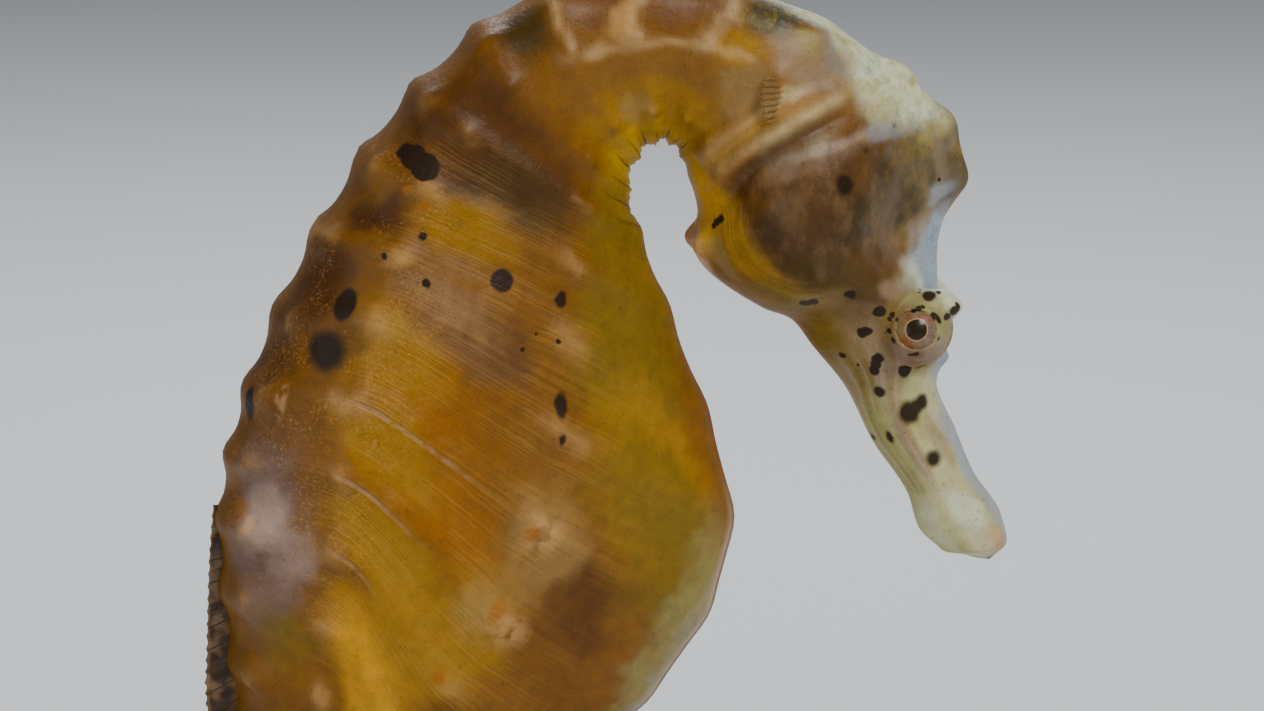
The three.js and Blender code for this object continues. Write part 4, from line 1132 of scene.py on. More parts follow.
# %% Both sides share one pattern
WAVER_SCALE, WAVER_REACH = 900.0, 0.0004
folded_place, inlet, outlet = group(
    "folded place", [("Place", VECTOR, (0, 0, 0))], [("Place", VECTOR), ("Wavered", VECTOR)])
parts = node(folded_place, "ShaderNodeSeparateXYZ", {0: inlet["Place"]}).outputs
side = math_node(folded_place, "ABSOLUTE", parts["Y"])
folded = node(folded_place, "ShaderNodeCombineXYZ", {"X": parts["X"], "Y": side, "Z": parts["Z"]}).outputs[0]
wobble = node(folded_place, "ShaderNodeTexNoise", {"Vector": folded, "Scale": WAVER_SCALE, "Detail": 1.0})
centred = vector_node(folded_place, "SUBTRACT", wobble.outputs["Color"], (0.5, 0.5, 0.5))
small = vector_node(folded_place, "SCALE", centred, scale=WAVER_REACH)
folded_place.links.new(folded, outlet["Place"])
folded_place.links.new(vector_node(folded_place, "ADD", folded, small), outlet["Wavered"])


def both_sides(tree):
    """The folded place and its wavered copy, for a material."""
    own_place = node(tree, "ShaderNodeTexCoord").outputs["Object"]
    made = node(tree, "ShaderNodeGroup", {"Place": own_place}, node_tree=folded_place)
    return made.outputs["Place"], made.outputs["Wavered"]


print("folded place:", len(folded_place.nodes), "nodes")


# %% Growth lines
def noise(tree, vector, scale, detail=2.0, roughness=0.5):
    return node(tree, "ShaderNodeTexNoise",
                {"Vector": vector, "Scale": scale, "Detail": detail, "Roughness": roughness}).outputs["Fac"]


growth_lines, inlet, outlet = group(
    "growth lines", [("Place", VECTOR, (0, 0, 0)), ("Across", FLOAT, 0.0), ("Length", FLOAT, 0.005)],
    [("Mask", FLOAT)])
per_length = math_node(growth_lines, "DIVIDE", 1.0, inlet["Length"])
slow = vector_node(growth_lines, "SCALE", inlet["Place"], scale=per_length)
across = node(growth_lines, "ShaderNodeCombineXYZ", {"X": inlet["Across"]}).outputs[0]
streaks = noise(growth_lines, vector_node(growth_lines, "ADD", slow, across), 1.0, 2.0, 0.6)
growth_lines.links.new(ramp(growth_lines, streaks, 0.4, 0.66), outlet["Mask"])


def fine_lines(tree, place, across, length):
    """Lines that follow the places where "across" stays the same, broken after about this length."""
    inputs = {"Place": place, "Across": across, "Length": length}
    return node(tree, "ShaderNodeGroup", inputs, node_tree=growth_lines).outputs["Mask"]


print("growth lines:", len(growth_lines.nodes), "nodes")

# %% [markdown]
# ## Skin material
# The broad colours are stored at the points of the mesh, which are too far apart for anything finer than
# a millimetre. So the material draws the rest over them: lines that run with the rings like the grain of
# a fingernail, growth lines round the gill cover, mottling in two sizes, the pale seams between plates,
# the creases of the throat, and the spots on top. The same lines lift the surface a little. The skin is
# satin and lets some light in, as a thin skin over flesh does.

# %% Helpers for paint, masks and relief
def own_attribute(tree, name):
    return node(tree, "ShaderNodeAttribute", attribute_name=name).outputs["Fac"]


def scaled(tree, value, by, plus):
    """The value times one number, plus another."""
    return math_node(tree, "MULTIPLY_ADD", value, by, plus)


def mix(tree, factor, a, b):
    """Mixes two colours: all a where factor is 0, all b where it is 1."""
    return node(tree, "ShaderNodeMix", {0: factor, 6: a, 7: b}, data_type="RGBA").outputs[2]


def cover(tree, ground, mask, strength, paint):
    """Covers the ground with a paint where the mask is 1, as far as the strength allows."""
    return mix(tree, product(tree, mask, strength), ground, colour(*paint))


def zone(tree, *limits):
    """A mask that is 1 only where all of its ramps, each a (value, start, end), are 1."""
    return product(tree, *[ramp(tree, *limit) for limit in limits])


def add_bump(tree, shader, height, strength, distance):
    """Lifts the surface by a height from 0 to 1, which stands for the distance, in metres."""
    bump = node(tree, "ShaderNodeBump", {"Strength": strength, "Distance": distance, "Height": height})
    tree.links.new(bump.outputs["Normal"], shader.inputs["Normal"])


print("materials so far:", [material.name for material in bpy.data.materials])

# %% Skin material: mottling in two sizes
WARM_SKIN, LICHEN, SLATE, PALE_LINE = (176, 116, 20), (158, 146, 66), (118, 124, 120), (208, 198, 190)
WISP_LIGHT, WISP_DARK, STREAK_GREY = (150, 124, 84), (52, 34, 10), (168, 152, 138)
FLECK, PEPPER, GRAIN_GOLD = (204, 146, 78), (64, 34, 8), (214, 164, 70)
SEAM_CREAM, CREASE_BROWN, PALE_MARK, RUST = (164, 126, 92), (84, 52, 4), (222, 172, 112), (160, 92, 10)
SPOT_BLACK = (34, 16, 0)
skin_material, tree, shader = new_material("seahorse skin")
place, wavered = both_sides(tree)
ring_at, around_at = own_attribute(tree, "ring"), own_attribute(tree, "around")
coarse = noise(tree, place, 260.0, 3.0)
medium = noise(tree, place, 900.0, 3.0)
fine = noise(tree, place, 4200.0, 3.0)
painted = node(tree, "ShaderNodeVertexColor", layer_name="flesh").outputs["Color"]
dapple = product(tree, scaled(tree, medium, 0.6, 0.7), scaled(tree, fine, 0.36, 0.82))
shaded = vector_node(tree, "SCALE", painted, scale=dapple)
shaded = cover(tree, shaded, ramp(tree, coarse, 0.5, 0.72), 0.12, WARM_SKIN)
print("mottling:", len(tree.nodes), "nodes")

# %% Skin material: nape, snout and gill cover
nape = product(tree, ramp(tree, around_at, 0.3, 0.16), zone(tree, (ring_at, -2.2, -0.8), (ring_at, 2.6, 1.2)))
blot = noise(tree, place, 520.0, 4.0, 0.62)
shaded = cover(tree, shaded, product(tree, nape, ramp(tree, blot, 0.44, 0.68)), 0.7, LICHEN)
shaded = cover(tree, shaded, product(tree, nape, ramp(tree, blot, 0.52, 0.3)), 0.6, SLATE)
snout_lines = fine_lines(tree, place, product(tree, around_at, 11.0), 0.014)
snout_zone = product(tree, ramp(tree, ring_at, -5.8, -7.0), snout_lines)
shaded = cover(tree, shaded, snout_zone, 0.3, PALE_LINE)
gill_zone = zone(tree, (ring_at, -4.4, -3.6), (ring_at, 0.2, -0.8), (around_at, 0.7, 0.56))
wisps = noise(tree, vector_node(tree, "MULTIPLY", place, (700.0, 200.0, 420.0)), 1.0, 4.0, 0.6)
pale_wisps = product(tree, gill_zone, ramp(tree, wisps, 0.46, 0.74))
dark_wisps = product(tree, gill_zone, ramp(tree, wisps, 0.5, 0.28))
shaded = cover(tree, shaded, pale_wisps, 0.26, WISP_LIGHT)
shaded = cover(tree, shaded, dark_wisps, 0.4, WISP_DARK)
streak_zone = zone(
    tree, (ring_at, -5.2, -4.4), (ring_at, -0.9, -1.9), (around_at, 0.34, 0.22), (around_at, 0.08, 0.13))
streaks = fine_lines(tree, place, product(tree, around_at, 15.0), 0.011)
shaded = cover(tree, shaded, product(tree, streak_zone, streaks), 0.3, STREAK_GREY)
print("with nape, snout and gill cover:", len(tree.nodes), "nodes")

# %% Skin material: flecks, grain and growth lines
LINES_PER_RING = 36
GROWTH_SPACING = 0.00015
fleck_zone = zone(
    tree, (ring_at, 6.0, 7.4), (ring_at, 13.5, 12.0), (around_at, 0.52, 0.4), (coarse, 0.42, 0.56))
shaded = cover(tree, shaded, product(tree, fleck_zone, ramp(tree, fine, 0.54, 0.66)), 0.3, FLECK)
shaded = cover(tree, shaded, ramp(tree, noise(tree, place, 2300.0, 2.0), 0.66, 0.74), 0.35, PEPPER)
bent_ring = scaled(tree, coarse, 0.1, ring_at)
grain = fine_lines(tree, place, product(tree, bent_ring, LINES_PER_RING), 0.012)
grain_zone = zone(
    tree, (ring_at, 5.6, 6.6), (ring_at, 15.0, 13.0), (around_at, 0.26, 0.36), (around_at, 0.9, 0.66),
    (coarse, 0.3, 0.6))
dome_centre = (sculpted_place(*GILL_DOME) * MM).tolist()
from_dome = vector_node(tree, "DISTANCE", wavered, dome_centre)
growth = fine_lines(tree, place, product(tree, from_dome, 1 / GROWTH_SPACING), 0.009)
growth_zone = zone(
    tree, (from_dome, 0.0035, 0.0062), (from_dome, 0.0092, 0.0076), (around_at, 0.5, 0.6),
    (ring_at, -0.9, -1.4))
lines = math_node(tree, "ADD", product(tree, grain, grain_zone), product(tree, growth, growth_zone, 0.9))
lined = cover(tree, shaded, lines, 0.13, GRAIN_GOLD)
print("with lines:", len(tree.nodes), "nodes")

# %% Skin material: seams and creases
DARK_CREASE_SPACING = 0.5
seam_ring = scaled(tree, medium, 0.06, math_node(tree, "SUBTRACT", ring_at, 0.03))
seam = ramp(tree, math_node(tree, "PINGPONG", seam_ring, 0.5), 0.05, 0.01)
seam_around = scaled(tree, ring_at, 0.055, math_node(tree, "SUBTRACT", around_at, 0.55))
seam_zone = zone(
    tree, (ring_at, 9.5, 9.9), (ring_at, 12.6, 12.2), (around_at, 0.34, 0.38), (seam_around, 0.62, 0.48),
    (medium, 0.3, 0.55))
seam_lines = product(tree, seam, seam_zone)
crease_ring = scaled(tree, medium, 0.12, ring_at)
crease = ramp(tree, math_node(tree, "PINGPONG", crease_ring, DARK_CREASE_SPACING / 2), 0.05, 0.01)
crease_zone = zone(tree, (ring_at, 0.8, 1.6), (ring_at, 6.8, 5.5), (around_at, 0.76, 0.88))
crease_lines = product(tree, crease, crease_zone)
seamed = cover(tree, lined, seam_lines, 0.6, SEAM_CREAM)
creased = cover(tree, seamed, crease_lines, 0.75, CREASE_BROWN)
print("with seams and creases:", len(tree.nodes), "nodes")

# %% Skin material: pale marks, rust marks and spots
pale = product(tree, spot_mask(tree, wavered, PALE_MARKS), ramp(tree, medium, 0.34, 0.58))
rust = product(tree, spot_mask(tree, wavered, RUST_MARKS), ramp(tree, fine, 0.3, 0.5))
dark = spot_mask(tree, wavered, HEAD_SPOTS + TRUNK_SPOTS)
dark = eye_marks(tree, wavered, EYE_MARKS, 0.1, LID, dark)
rusty = cover(tree, cover(tree, creased, pale, 0.4, PALE_MARK), rust, 0.85, RUST)
spotted = cover(tree, rusty, dark, 0.97, SPOT_BLACK)
print("skin material:", len(tree.nodes), "nodes")

# %% Skin material: gloss, depth and relief
fill(tree, shader, {
    "Base Color": spotted, "Roughness": scaled(tree, fine, 0.25, 0.33), "Specular IOR Level": 0.2,
    "Subsurface Weight": 0.2, "Subsurface Radius": (1.0, 0.5, 0.2), "Subsurface Scale": 0.0009,
    "Coat Weight": 0.05, "Coat Roughness": 0.28,
})
height = scaled(tree, medium, 0.9, product(tree, fine, 0.3))
height = scaled(tree, lines, 0.25, height)
height = scaled(tree, product(tree, nape, blot), 1.6, height)
height = math_node(tree, "SUBTRACT", height, math_node(tree, "ADD", crease_lines, seam_lines))
add_bump(tree, shader, height, strength=0.6, distance=0.0002)
skin_mesh.materials.append(skin_material)
print("skin faces with the material:", len(skin_mesh.polygons))

# %% [markdown]
# ## Eyes
# A seahorse's eye stands out like a turret. The small dark pupil has a thin bright ring, and the rest of
# the visible ball carries the skin's own cream, mauve and orange, with dark marks. An eye could be a
# painted part of the skin, but then it would not shine apart from it. So each eye is a ball of its own
# with a slight swelling over the pupil, and a wet coat over the pupil and the ring round it.

# %% Eyeballs
BALL_COLUMNS, BALL_ROWS = 72, 48
CORNEA_RADIUS, CORNEA_RISE = 1.3, 0.1


def eyeball(name, side):
    """A closed ball with a slight swelling over the pupil: side is 1 on the left and -1 on the right."""
    points, quads = [], []
    for r in range(BALL_ROWS + 1):
        tip = math.pi * r / BALL_ROWS
        from_axis = math.sin(tip) * EYE_RADIUS
        swell = CORNEA_RISE * math.exp(-((from_axis / CORNEA_RADIUS) ** 2)) if tip < math.pi / 2 else 0.0
        for c in range(BALL_COLUMNS):
            out = gaze * math.cos(tip) + spoke(2 * math.pi * c / BALL_COLUMNS) * math.sin(tip)
            points.append((EYE_CENTRE + out * (EYE_RADIUS - CORNEA_RISE + swell)) * [1, side, 1])
    for r in range(BALL_ROWS):
        for c in range(BALL_COLUMNS):
            p, q = r * BALL_COLUMNS + c, r * BALL_COLUMNS + (c + 1) % BALL_COLUMNS
            quads.append((p, q, q + BALL_COLUMNS, p + BALL_COLUMNS))
    mesh = mesh_from(name, points, quads)
    face_outward(mesh, join_within=1e-7)
    mesh.shade_smooth()
    return new_object(name, mesh)


print("two eyes, radius %.2f mm" % EYE_RADIUS)

# %% Eye material: the iris
IRIS_OLIVE, IRIS_MAUVE, IRIS_DARK, IRIS_SPECKLE = (128, 104, 62), (126, 108, 96), (92, 68, 50), (84, 62, 44)
IRIS_RIM, IRIS_ORANGE = (140, 124, 84), (134, 70, 20)
eye_material, tree, shader = new_material("seahorse eye")
place, wavered = both_sides(tree)
offset = vector_node(tree, "SUBTRACT", place, (EYE_CENTRE * MM).tolist())
run = vector_node(tree, "DOT_PRODUCT", offset, gaze.tolist())
sideways = vector_node(tree, "SUBTRACT", offset, vector_node(tree, "SCALE", gaze.tolist(), scale=run))
from_axis = vector_node(tree, "LENGTH", sideways)
rays = noise(tree, vector_node(tree, "NORMALIZE", sideways), 3.0, 3.0)
speckle = noise(tree, place, 2600.0, 3.0)
toward_snout = ramp(tree, vector_node(tree, "DOT_PRODUCT", offset, eye_ahead.tolist()), -0.001, 0.001)
iris = mix(tree, toward_snout, colour(*IRIS_OLIVE), colour(*IRIS_MAUVE))
iris = cover(tree, iris, ramp(tree, rays, 0.4, 0.62), 0.45, IRIS_DARK)
iris = cover(tree, iris, ramp(tree, speckle, 0.5, 0.72), 0.5, IRIS_SPECKLE)
iris = mix(tree, ramp(tree, from_axis, 0.0012, 0.0018), iris, colour(*IRIS_RIM))
iris = mix(tree, eye_marks(tree, wavered, ORANGE_MARKS, 0.2), iris, colour(*IRIS_ORANGE))
print("iris:", len(tree.nodes), "nodes")

# %% Eye material: pupil, bright ring and wet coat
PUPIL_RADIUS, RING_RADIUS = 0.8, 0.9
PUPIL_BROWN, RING_COPPER, MARK_BLACK = (40, 30, 12), (190, 138, 98), (34, 18, 4)
edge = scaled(tree, speckle, 0.0001, from_axis)
in_ring = ramp(tree, edge, (RING_RADIUS + 0.12) * MM, (RING_RADIUS + 0.04) * MM)
in_pupil = ramp(tree, edge, (PUPIL_RADIUS + 0.1) * MM, (PUPIL_RADIUS + 0.05) * MM)
ringed = cover(tree, iris, in_ring, 0.8, RING_COPPER)
eye_colour = mix(tree, in_pupil, ringed, colour(*PUPIL_BROWN))
marked = mix(tree, eye_marks(tree, wavered, EYE_MARKS, 0.1), eye_colour, colour(*MARK_BLACK))
wet = product(tree, ramp(tree, from_axis, 0.0021, 0.0013), 0.2)
fill(tree, shader, {
    "Base Color": marked, "Roughness": scaled(tree, speckle, 0.2, 0.25), "Coat Weight": wet,
    "Coat Roughness": 0.06, "Specular IOR Level": 0.15,
})
wrinkle = product(tree, math_node(tree, "ADD", rays, speckle), ramp(tree, from_axis, 0.001, 0.0014))
add_bump(tree, shader, wrinkle, strength=0.35, distance=0.0001)
for side, word in ((-1, "right"), (1, "left")):
    ball = eyeball(f"eye_ball_{word}", side)
    ball.data.materials.append(eye_material)
    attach(ball, "root")
    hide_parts(f"eye_{word}")
    print(ball.name, "faces:", len(ball.data.polygons))

# %% [markdown]
# ## Fins
# A seahorse swims with small fins: one on the back, a tiny one under the belly, and a pair behind the
# gill covers. Each is a thin film of skin held open by stiff rays. The rays repeat, so a Geometry Nodes
# tree sets them: it spaces points along the fin's root, stands a tapered rod on each, and turns and
# stretches the rod by the "reach" stored there. The film is a thin closed sheet that sags a little
# between the rays.

# %% A tree that sets the rays of a fin
fin_material, fin_tree, fin_shader = new_material("fin film and rays")
ray_tree = bpy.data.node_groups.new("fin rays", "GeometryNodeTree")
for name, kind in (("Geometry", "Geometry"), ("Rays", "Int"), ("Ray radius", "Float"), ("Paleness", "Float"),
                   ("Seed", "Int"), ("Material", "Material")):
    ray_tree.interface.new_socket(name, in_out="INPUT", socket_type=f"NodeSocket{kind}")
ray_tree.interface.new_socket("Geometry", in_out="OUTPUT", socket_type="NodeSocketGeometry")
fin_inputs = ray_tree.nodes.new("NodeGroupInput").outputs
fin_output = ray_tree.nodes.new("NodeGroupOutput").inputs


def read_attribute(name, kind):
    return node(ray_tree, "GeometryNodeInputNamedAttribute", {"Name": name}, data_type=kind).outputs[0]


def keep_attribute(geometry, name, value):
    inputs = {"Geometry": geometry, "Name": name, "Value": value}
    settings = {"data_type": "FLOAT", "domain": "POINT"}
    return node(ray_tree, "GeometryNodeStoreNamedAttribute", inputs, **settings).outputs[0]


print("inputs of the tree:", len(ray_tree.interface.items_tree) - 1)

# %% Feet of the rays, spaced along the root
guide, reach = read_attribute("guide", "FLOAT"), read_attribute("reach", "FLOAT_VECTOR")
parted = node(ray_tree, "GeometryNodeSeparateGeometry",
              {"Geometry": fin_inputs["Geometry"], "Selection": guide}).outputs
root_curve = node(ray_tree, "GeometryNodeMeshToCurve", {"Mesh": parted["Selection"]}).outputs[0]
ray_feet = node(ray_tree, "GeometryNodeResampleCurve",
                {"Curve": root_curve, "Count": fin_inputs["Rays"]}).outputs[0]
print("so far:", len(ray_tree.nodes), "nodes")

# %% One tapered ray, which knows its own height
RAY_SIDES, RAY_SEGMENTS, RAY_TIP_WIDTH = 8, 12, 0.4
rod = node(ray_tree, "GeometryNodeMeshCone",
           {"Vertices": RAY_SIDES, "Side Segments": RAY_SEGMENTS, "Radius Top": RAY_TIP_WIDTH,
            "Radius Bottom": 1.0, "Depth": 1.0})
own_place = node(ray_tree, "GeometryNodeInputPosition").outputs[0]
own_height = node(ray_tree, "ShaderNodeSeparateXYZ", {0: own_place}).outputs["Z"]
rod = keep_attribute(keep_attribute(rod.outputs["Mesh"], "out", own_height), "ray", 1.0)
print("faces along one ray:", RAY_SIDES * RAY_SEGMENTS)

# %% A ray on each foot, turned and stretched by the reach stored there
THINNEST_RAY, THICKEST_RAY = 0.8, 1.15
turned = node(ray_tree, "FunctionNodeAlignRotationToVector", {"Vector": reach}, axis="Z").outputs[0]
length = vector_node(ray_tree, "LENGTH", reach)
ray_thickness = {2: THINNEST_RAY, 3: THICKEST_RAY, "Seed": fin_inputs["Seed"]}
uneven_ray = node(ray_tree, "FunctionNodeRandomValue", ray_thickness, data_type="FLOAT").outputs[1]
thick = product(ray_tree, fin_inputs["Ray radius"], uneven_ray)
rod_size = node(ray_tree, "ShaderNodeCombineXYZ", {"X": thick, "Y": thick, "Z": length}).outputs[0]
standing = node(ray_tree, "GeometryNodeInstanceOnPoints",
                {"Points": ray_feet, "Instance": rod, "Rotation": turned, "Scale": rod_size}).outputs[0]
print("ray thickness varies from", THINNEST_RAY, "to", THICKEST_RAY)

# %% Rays and film together, with their material
real_rays = node(ray_tree, "GeometryNodeRealizeInstances", {"Geometry": standing}).outputs[0]
together = node(ray_tree, "GeometryNodeJoinGeometry")
ray_tree.links.new(real_rays, together.inputs[0])
ray_tree.links.new(parted["Inverted"], together.inputs[0])
toned = keep_attribute(together.outputs[0], "paleness", fin_inputs["Paleness"])
dressed = node(ray_tree, "GeometryNodeSetMaterial",
               {"Geometry": toned, "Material": fin_inputs["Material"]}).outputs[0]
ray_tree.links.new(dressed, fin_output["Geometry"])
print("fin tree:", len(ray_tree.nodes), "nodes")

# %% [markdown]
# The film between the rays is built first, as two sheets a tenth of a millimetre apart, closed at the
# rim. Its edge dips between the rays and it bulges a little to one side and the other, as wet skin does
# when the fin is half folded. The root lies under the skin of the body, so no gap shows.

# %% The film of a fin
FILM_COLUMNS_PER_RAY, FILM_ROWS = 6, 8
FILM_DIP, FILM_BULGE = 0.05, 0.1
FILM_HALF_THICK, FILM_THINNING = 0.075, 0.04
RAY_SHARE = 0.97


def film_sheets(root, edge, facing, rays):
    """The points of two sheets from root to edge, and how far out each point lies, from 0 to 1."""
    t = np.linspace(0, 1, len(root))
    bulge = np.sin(np.pi * (rays - 1) * t)
    points, out = [], []
    for side in (1, -1):
        for s in np.linspace(0, 1, FILM_ROWS + 1):
            place = root + (edge - root) * (s * (1 - FILM_DIP * np.abs(bulge) * s**2))[:, None]
            away = FILM_BULGE * s * bulge + side * (FILM_HALF_THICK - FILM_THINNING * s)
            points.append(place + np.asarray(facing, float) * away[:, None])
            out.append(np.full(len(root), s))
    return np.vstack(points), np.concatenate(out)


def film_faces(columns):
    """The faces of both sheets, and of the rim that closes them."""
    cells = np.arange((FILM_ROWS + 1) * columns).reshape(FILM_ROWS + 1, columns)
    faces = []
    for layer in (0, 1):
        a = cells + layer * cells.size
        quads = np.stack([a[:-1, :-1], a[:-1, 1:], a[1:, 1:], a[1:, :-1]], axis=-1).reshape(-1, 4)
        faces += quads.tolist() if layer else quads[:, ::-1].tolist()
    rim = np.concatenate([cells[0, :-1], cells[:-1, -1], cells[-1, :0:-1], cells[:0:-1, 0]])
    for a, b in zip(rim, np.roll(rim, -1)):
        faces.append([int(a), int(b), int(b + cells.size), int(a + cells.size)])
    return faces


def film_mesh(name, root, edge, facing, rays):
    """A closed thin sheet from root to edge, and the guide line on which its rays stand."""
    film, out = film_sheets(root, edge, facing, rays)
    count, columns = len(film), len(root)
    guide_edges = [(count + n, count + n + 1) for n in range(columns - 1)]
    mesh = mesh_from(name, np.vstack([film, root]), film_faces(columns), guide_edges)
    store(mesh, "out", np.concatenate([out, np.zeros(columns)]))
    store(mesh, "guide", np.concatenate([np.zeros(count), np.ones(columns)]))
    store(mesh, "ray", np.zeros(count + columns))
    vectors = np.vstack([np.zeros((count, 3)), (edge - root) * MM * RAY_SHARE])
    reach_of_points = mesh.attributes.new("reach", "FLOAT_VECTOR", "POINT")
    reach_of_points.data.foreach_set("vector", vectors.astype(np.float32).ravel())
    face_outward(mesh)
    return mesh


print("film faces between two rays:", 2 * FILM_COLUMNS_PER_RAY * FILM_ROWS)


# %% A fin grown by the tree and kept as a plain mesh
def finished_fin(name, mesh, rays, ray_radius, paleness, seed):
    """Runs the tree on the film, keeps the result as a plain mesh, and puts it in place of the solid fin."""
    fin = new_object(f"{name}_film", mesh)
    modifier = fin.modifiers.new("rays", "NODES")
    modifier.node_group = ray_tree
    values = {"Rays": rays, "Ray radius": ray_radius * MM, "Paleness": paleness, "Seed": seed,
              "Material": fin_material}
    for socket in ray_tree.interface.items_tree:
        if socket.in_out == "INPUT" and socket.name in values:
            modifier[socket.identifier] = values[socket.name]
    graph = bpy.context.evaluated_depsgraph_get()
    grown = bpy.data.meshes.new_from_object(
        fin.evaluated_get(graph), preserve_all_data_layers=True, depsgraph=graph)
    fin.modifiers.clear()
    fin.data = grown
    grown.shade_smooth()
    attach(fin, "root")
    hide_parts(name)
    print(name, "rays:", rays, "faces:", len(grown.polygons))


# %% Fins in the middle plane
FIN_ROOT_DEPTH = 1.5


def midline_fin(around, first, last, height, lean, rays):
    """Root and edge of a fin between two rings, as two rows of places."""
    columns = (rays - 1) * FILM_COLUMNS_PER_RAY + 1
    rings = np.linspace(first, last, columns)
    at = body_surface(rings, np.array([around]))[:, 0]
    outward = body_normals(rings, np.array([around]))[:, 0]
    trail = np.column_stack([outward[:, 2], np.zeros(columns), -outward[:, 0]])
    trail *= np.sign((trail * np.gradient(at, axis=0)).sum(axis=1))[:, None]
    tall = height(np.linspace(0, 1, columns))[:, None]
    return at - outward * FIN_ROOT_DEPTH, at + (outward + trail * lean) * tall


def dorsal_height(t):
    """Low in front, about 2 mm behind the middle, and cut down at the end, in millimetres."""
    return 0.2 + 2.0 * smooth(t / 0.75) * (1 - 0.75 * smooth((t - 0.78) / 0.22))


def anal_height(t):
    return 2.6 - 0.5 * t


MIDLINE_FINS = [  # name, around, first and last ring, height, lean, rays, ray radius
    ("dorsal_fin", 0.0, 11.8, 15.7, dorsal_height, 0.7, 27, 0.11),
    ("anal_fin", 1.0, 13.9, 14.7, anal_height, 0.35, 5, 0.08),
]
for name, around, first, last, height, lean, rays, ray_radius in MIDLINE_FINS:
    root, edge = midline_fin(around, first, last, height, lean, rays)
    finished_fin(name, film_mesh(name, root, edge, (0, 1, 0), rays), rays, ray_radius, paleness=0.0, seed=3)

# %% Fins behind the gill covers
PECTORAL_ROOT = np.array([17.6, 5.0, 156.5])
PECTORAL_LENGTH, PECTORAL_FOOT, PECTORAL_EDGE = 3.6, 1.1, 1.9
PECTORAL_ROOT_DEPTH, PECTORAL_ROUNDING = 0.6, 0.5
PECTORAL_OUTWARD, PECTORAL_ROLL = 0.33, -0.1
PECTORAL_RAYS, PECTORAL_RAY_RADIUS = 15, 0.035


def pectoral_fin(side):
    """Root, edge and facing direction of the fan behind the gill cover: side is 1 on the left."""
    back = np.array([-math.cos(PECTORAL_OUTWARD), side * math.sin(PECTORAL_OUTWARD), 0])
    up = unit(np.array([PECTORAL_ROLL, 0, 1]) - back * PECTORAL_ROLL * back[0])
    across = np.linspace(-1, 1, (PECTORAL_RAYS - 1) * FILM_COLUMNS_PER_RAY + 1)[:, None]
    foot = PECTORAL_ROOT * [1, side, 1]
    root = foot + up * PECTORAL_FOOT * across - back * PECTORAL_ROOT_DEPTH
    edge = foot + up * PECTORAL_EDGE * across + back * (PECTORAL_LENGTH - PECTORAL_ROUNDING * across**2)
    return root, edge, np.cross(back, up)


for side, word in ((-1, "right"), (1, "left")):
    root, edge, facing = pectoral_fin(side)
    mesh = film_mesh(f"pectoral_{word}", root, edge, facing, PECTORAL_RAYS)
    finished_fin(f"pectoral_fin_{word}", mesh, PECTORAL_RAYS, PECTORAL_RAY_RADIUS, paleness=1.0, seed=5)

# %% [markdown]
# A fin's film is clear with a yellow-brown tint, and blotched with dark brown nearer the edge. The rays
# are solid, a little darker, and crossed by fine joints. The film is made see-through with the shader's
# Alpha, because a film this thin bends no light that one could notice.

# %% Fin material: colours of film and rays
FILM_AMBER, FILM_BLOTCH, FILM_EDGE = (128, 88, 30), (50, 28, 8), (150, 112, 56)
RAY_BROWN, RAY_JOINT, PALE_FILM, PALE_RAY = (96, 62, 26), (60, 36, 14), (150, 114, 54), (168, 134, 76)
JOINTS_PER_RAY = 16.0
place = node(fin_tree, "ShaderNodeTexCoord").outputs["Object"]
out, ray = own_attribute(fin_tree, "out"), own_attribute(fin_tree, "ray")
paleness = own_attribute(fin_tree, "paleness")
blotch = noise(fin_tree, place, 620.0, 3.0)
grain = noise(fin_tree, place, 5200.0, 2.0)
tint = mix(fin_tree, ramp(fin_tree, blotch, 0.38, 0.56), colour(*FILM_AMBER), colour(*FILM_BLOTCH))
tint = cover(fin_tree, tint, ramp(fin_tree, out, 0.86, 1.0), 0.6, FILM_EDGE)
tint = cover(fin_tree, tint, grain, 0.4, RAY_BROWN)
joint_share = math_node(fin_tree, "PINGPONG", product(fin_tree, out, JOINTS_PER_RAY), 0.5)
joints = ramp(fin_tree, joint_share, 0.02, 0.12)
tinted = mix(fin_tree, ray, tint, mix(fin_tree, joints, colour(*RAY_JOINT), colour(*RAY_BROWN)))
pale_fin = mix(fin_tree, ray, colour(*PALE_FILM), colour(*PALE_RAY))
tinted = mix(fin_tree, product(fin_tree, paleness, 0.9), tinted, pale_fin)
print("fin colours:", len(fin_tree.nodes), "nodes")

# %% Fin material: clearness and relief
film_alpha = scaled(fin_tree, ramp(fin_tree, blotch, 0.38, 0.62), 0.15, 0.83)
film_alpha = math_node(fin_tree, "ADD", film_alpha, ramp(fin_tree, out, 0.5, 0.2))
film_alpha = product(fin_tree, film_alpha, scaled(fin_tree, paleness, -0.6, 1.0))
ray_alpha = product(fin_tree, ray, scaled(fin_tree, paleness, -0.5, 1.0))
fill(fin_tree, fin_shader, {
    "Base Color": tinted, "Alpha": math_node(fin_tree, "MAXIMUM", film_alpha, ray_alpha),
    "Roughness": scaled(fin_tree, grain, 0.25, 0.25),
})
ripple = math_node(fin_tree, "ADD", grain, product(fin_tree, joints, ray))
add_bump(fin_tree, fin_shader, ripple, strength=0.5, distance=0.00005)
print("fin material:", len(fin_tree.nodes), "nodes")

# %% [markdown]
# ## Display stand
# The stand is the kind a museum workshop makes: a small walnut plinth with a moulded edge, and two turned
# brass rods whose ends are shaped to the animal. The plinth is one outline with rounded corners, carried
# up through a profile of (inset, height) steps, so the moulding runs round unbroken.

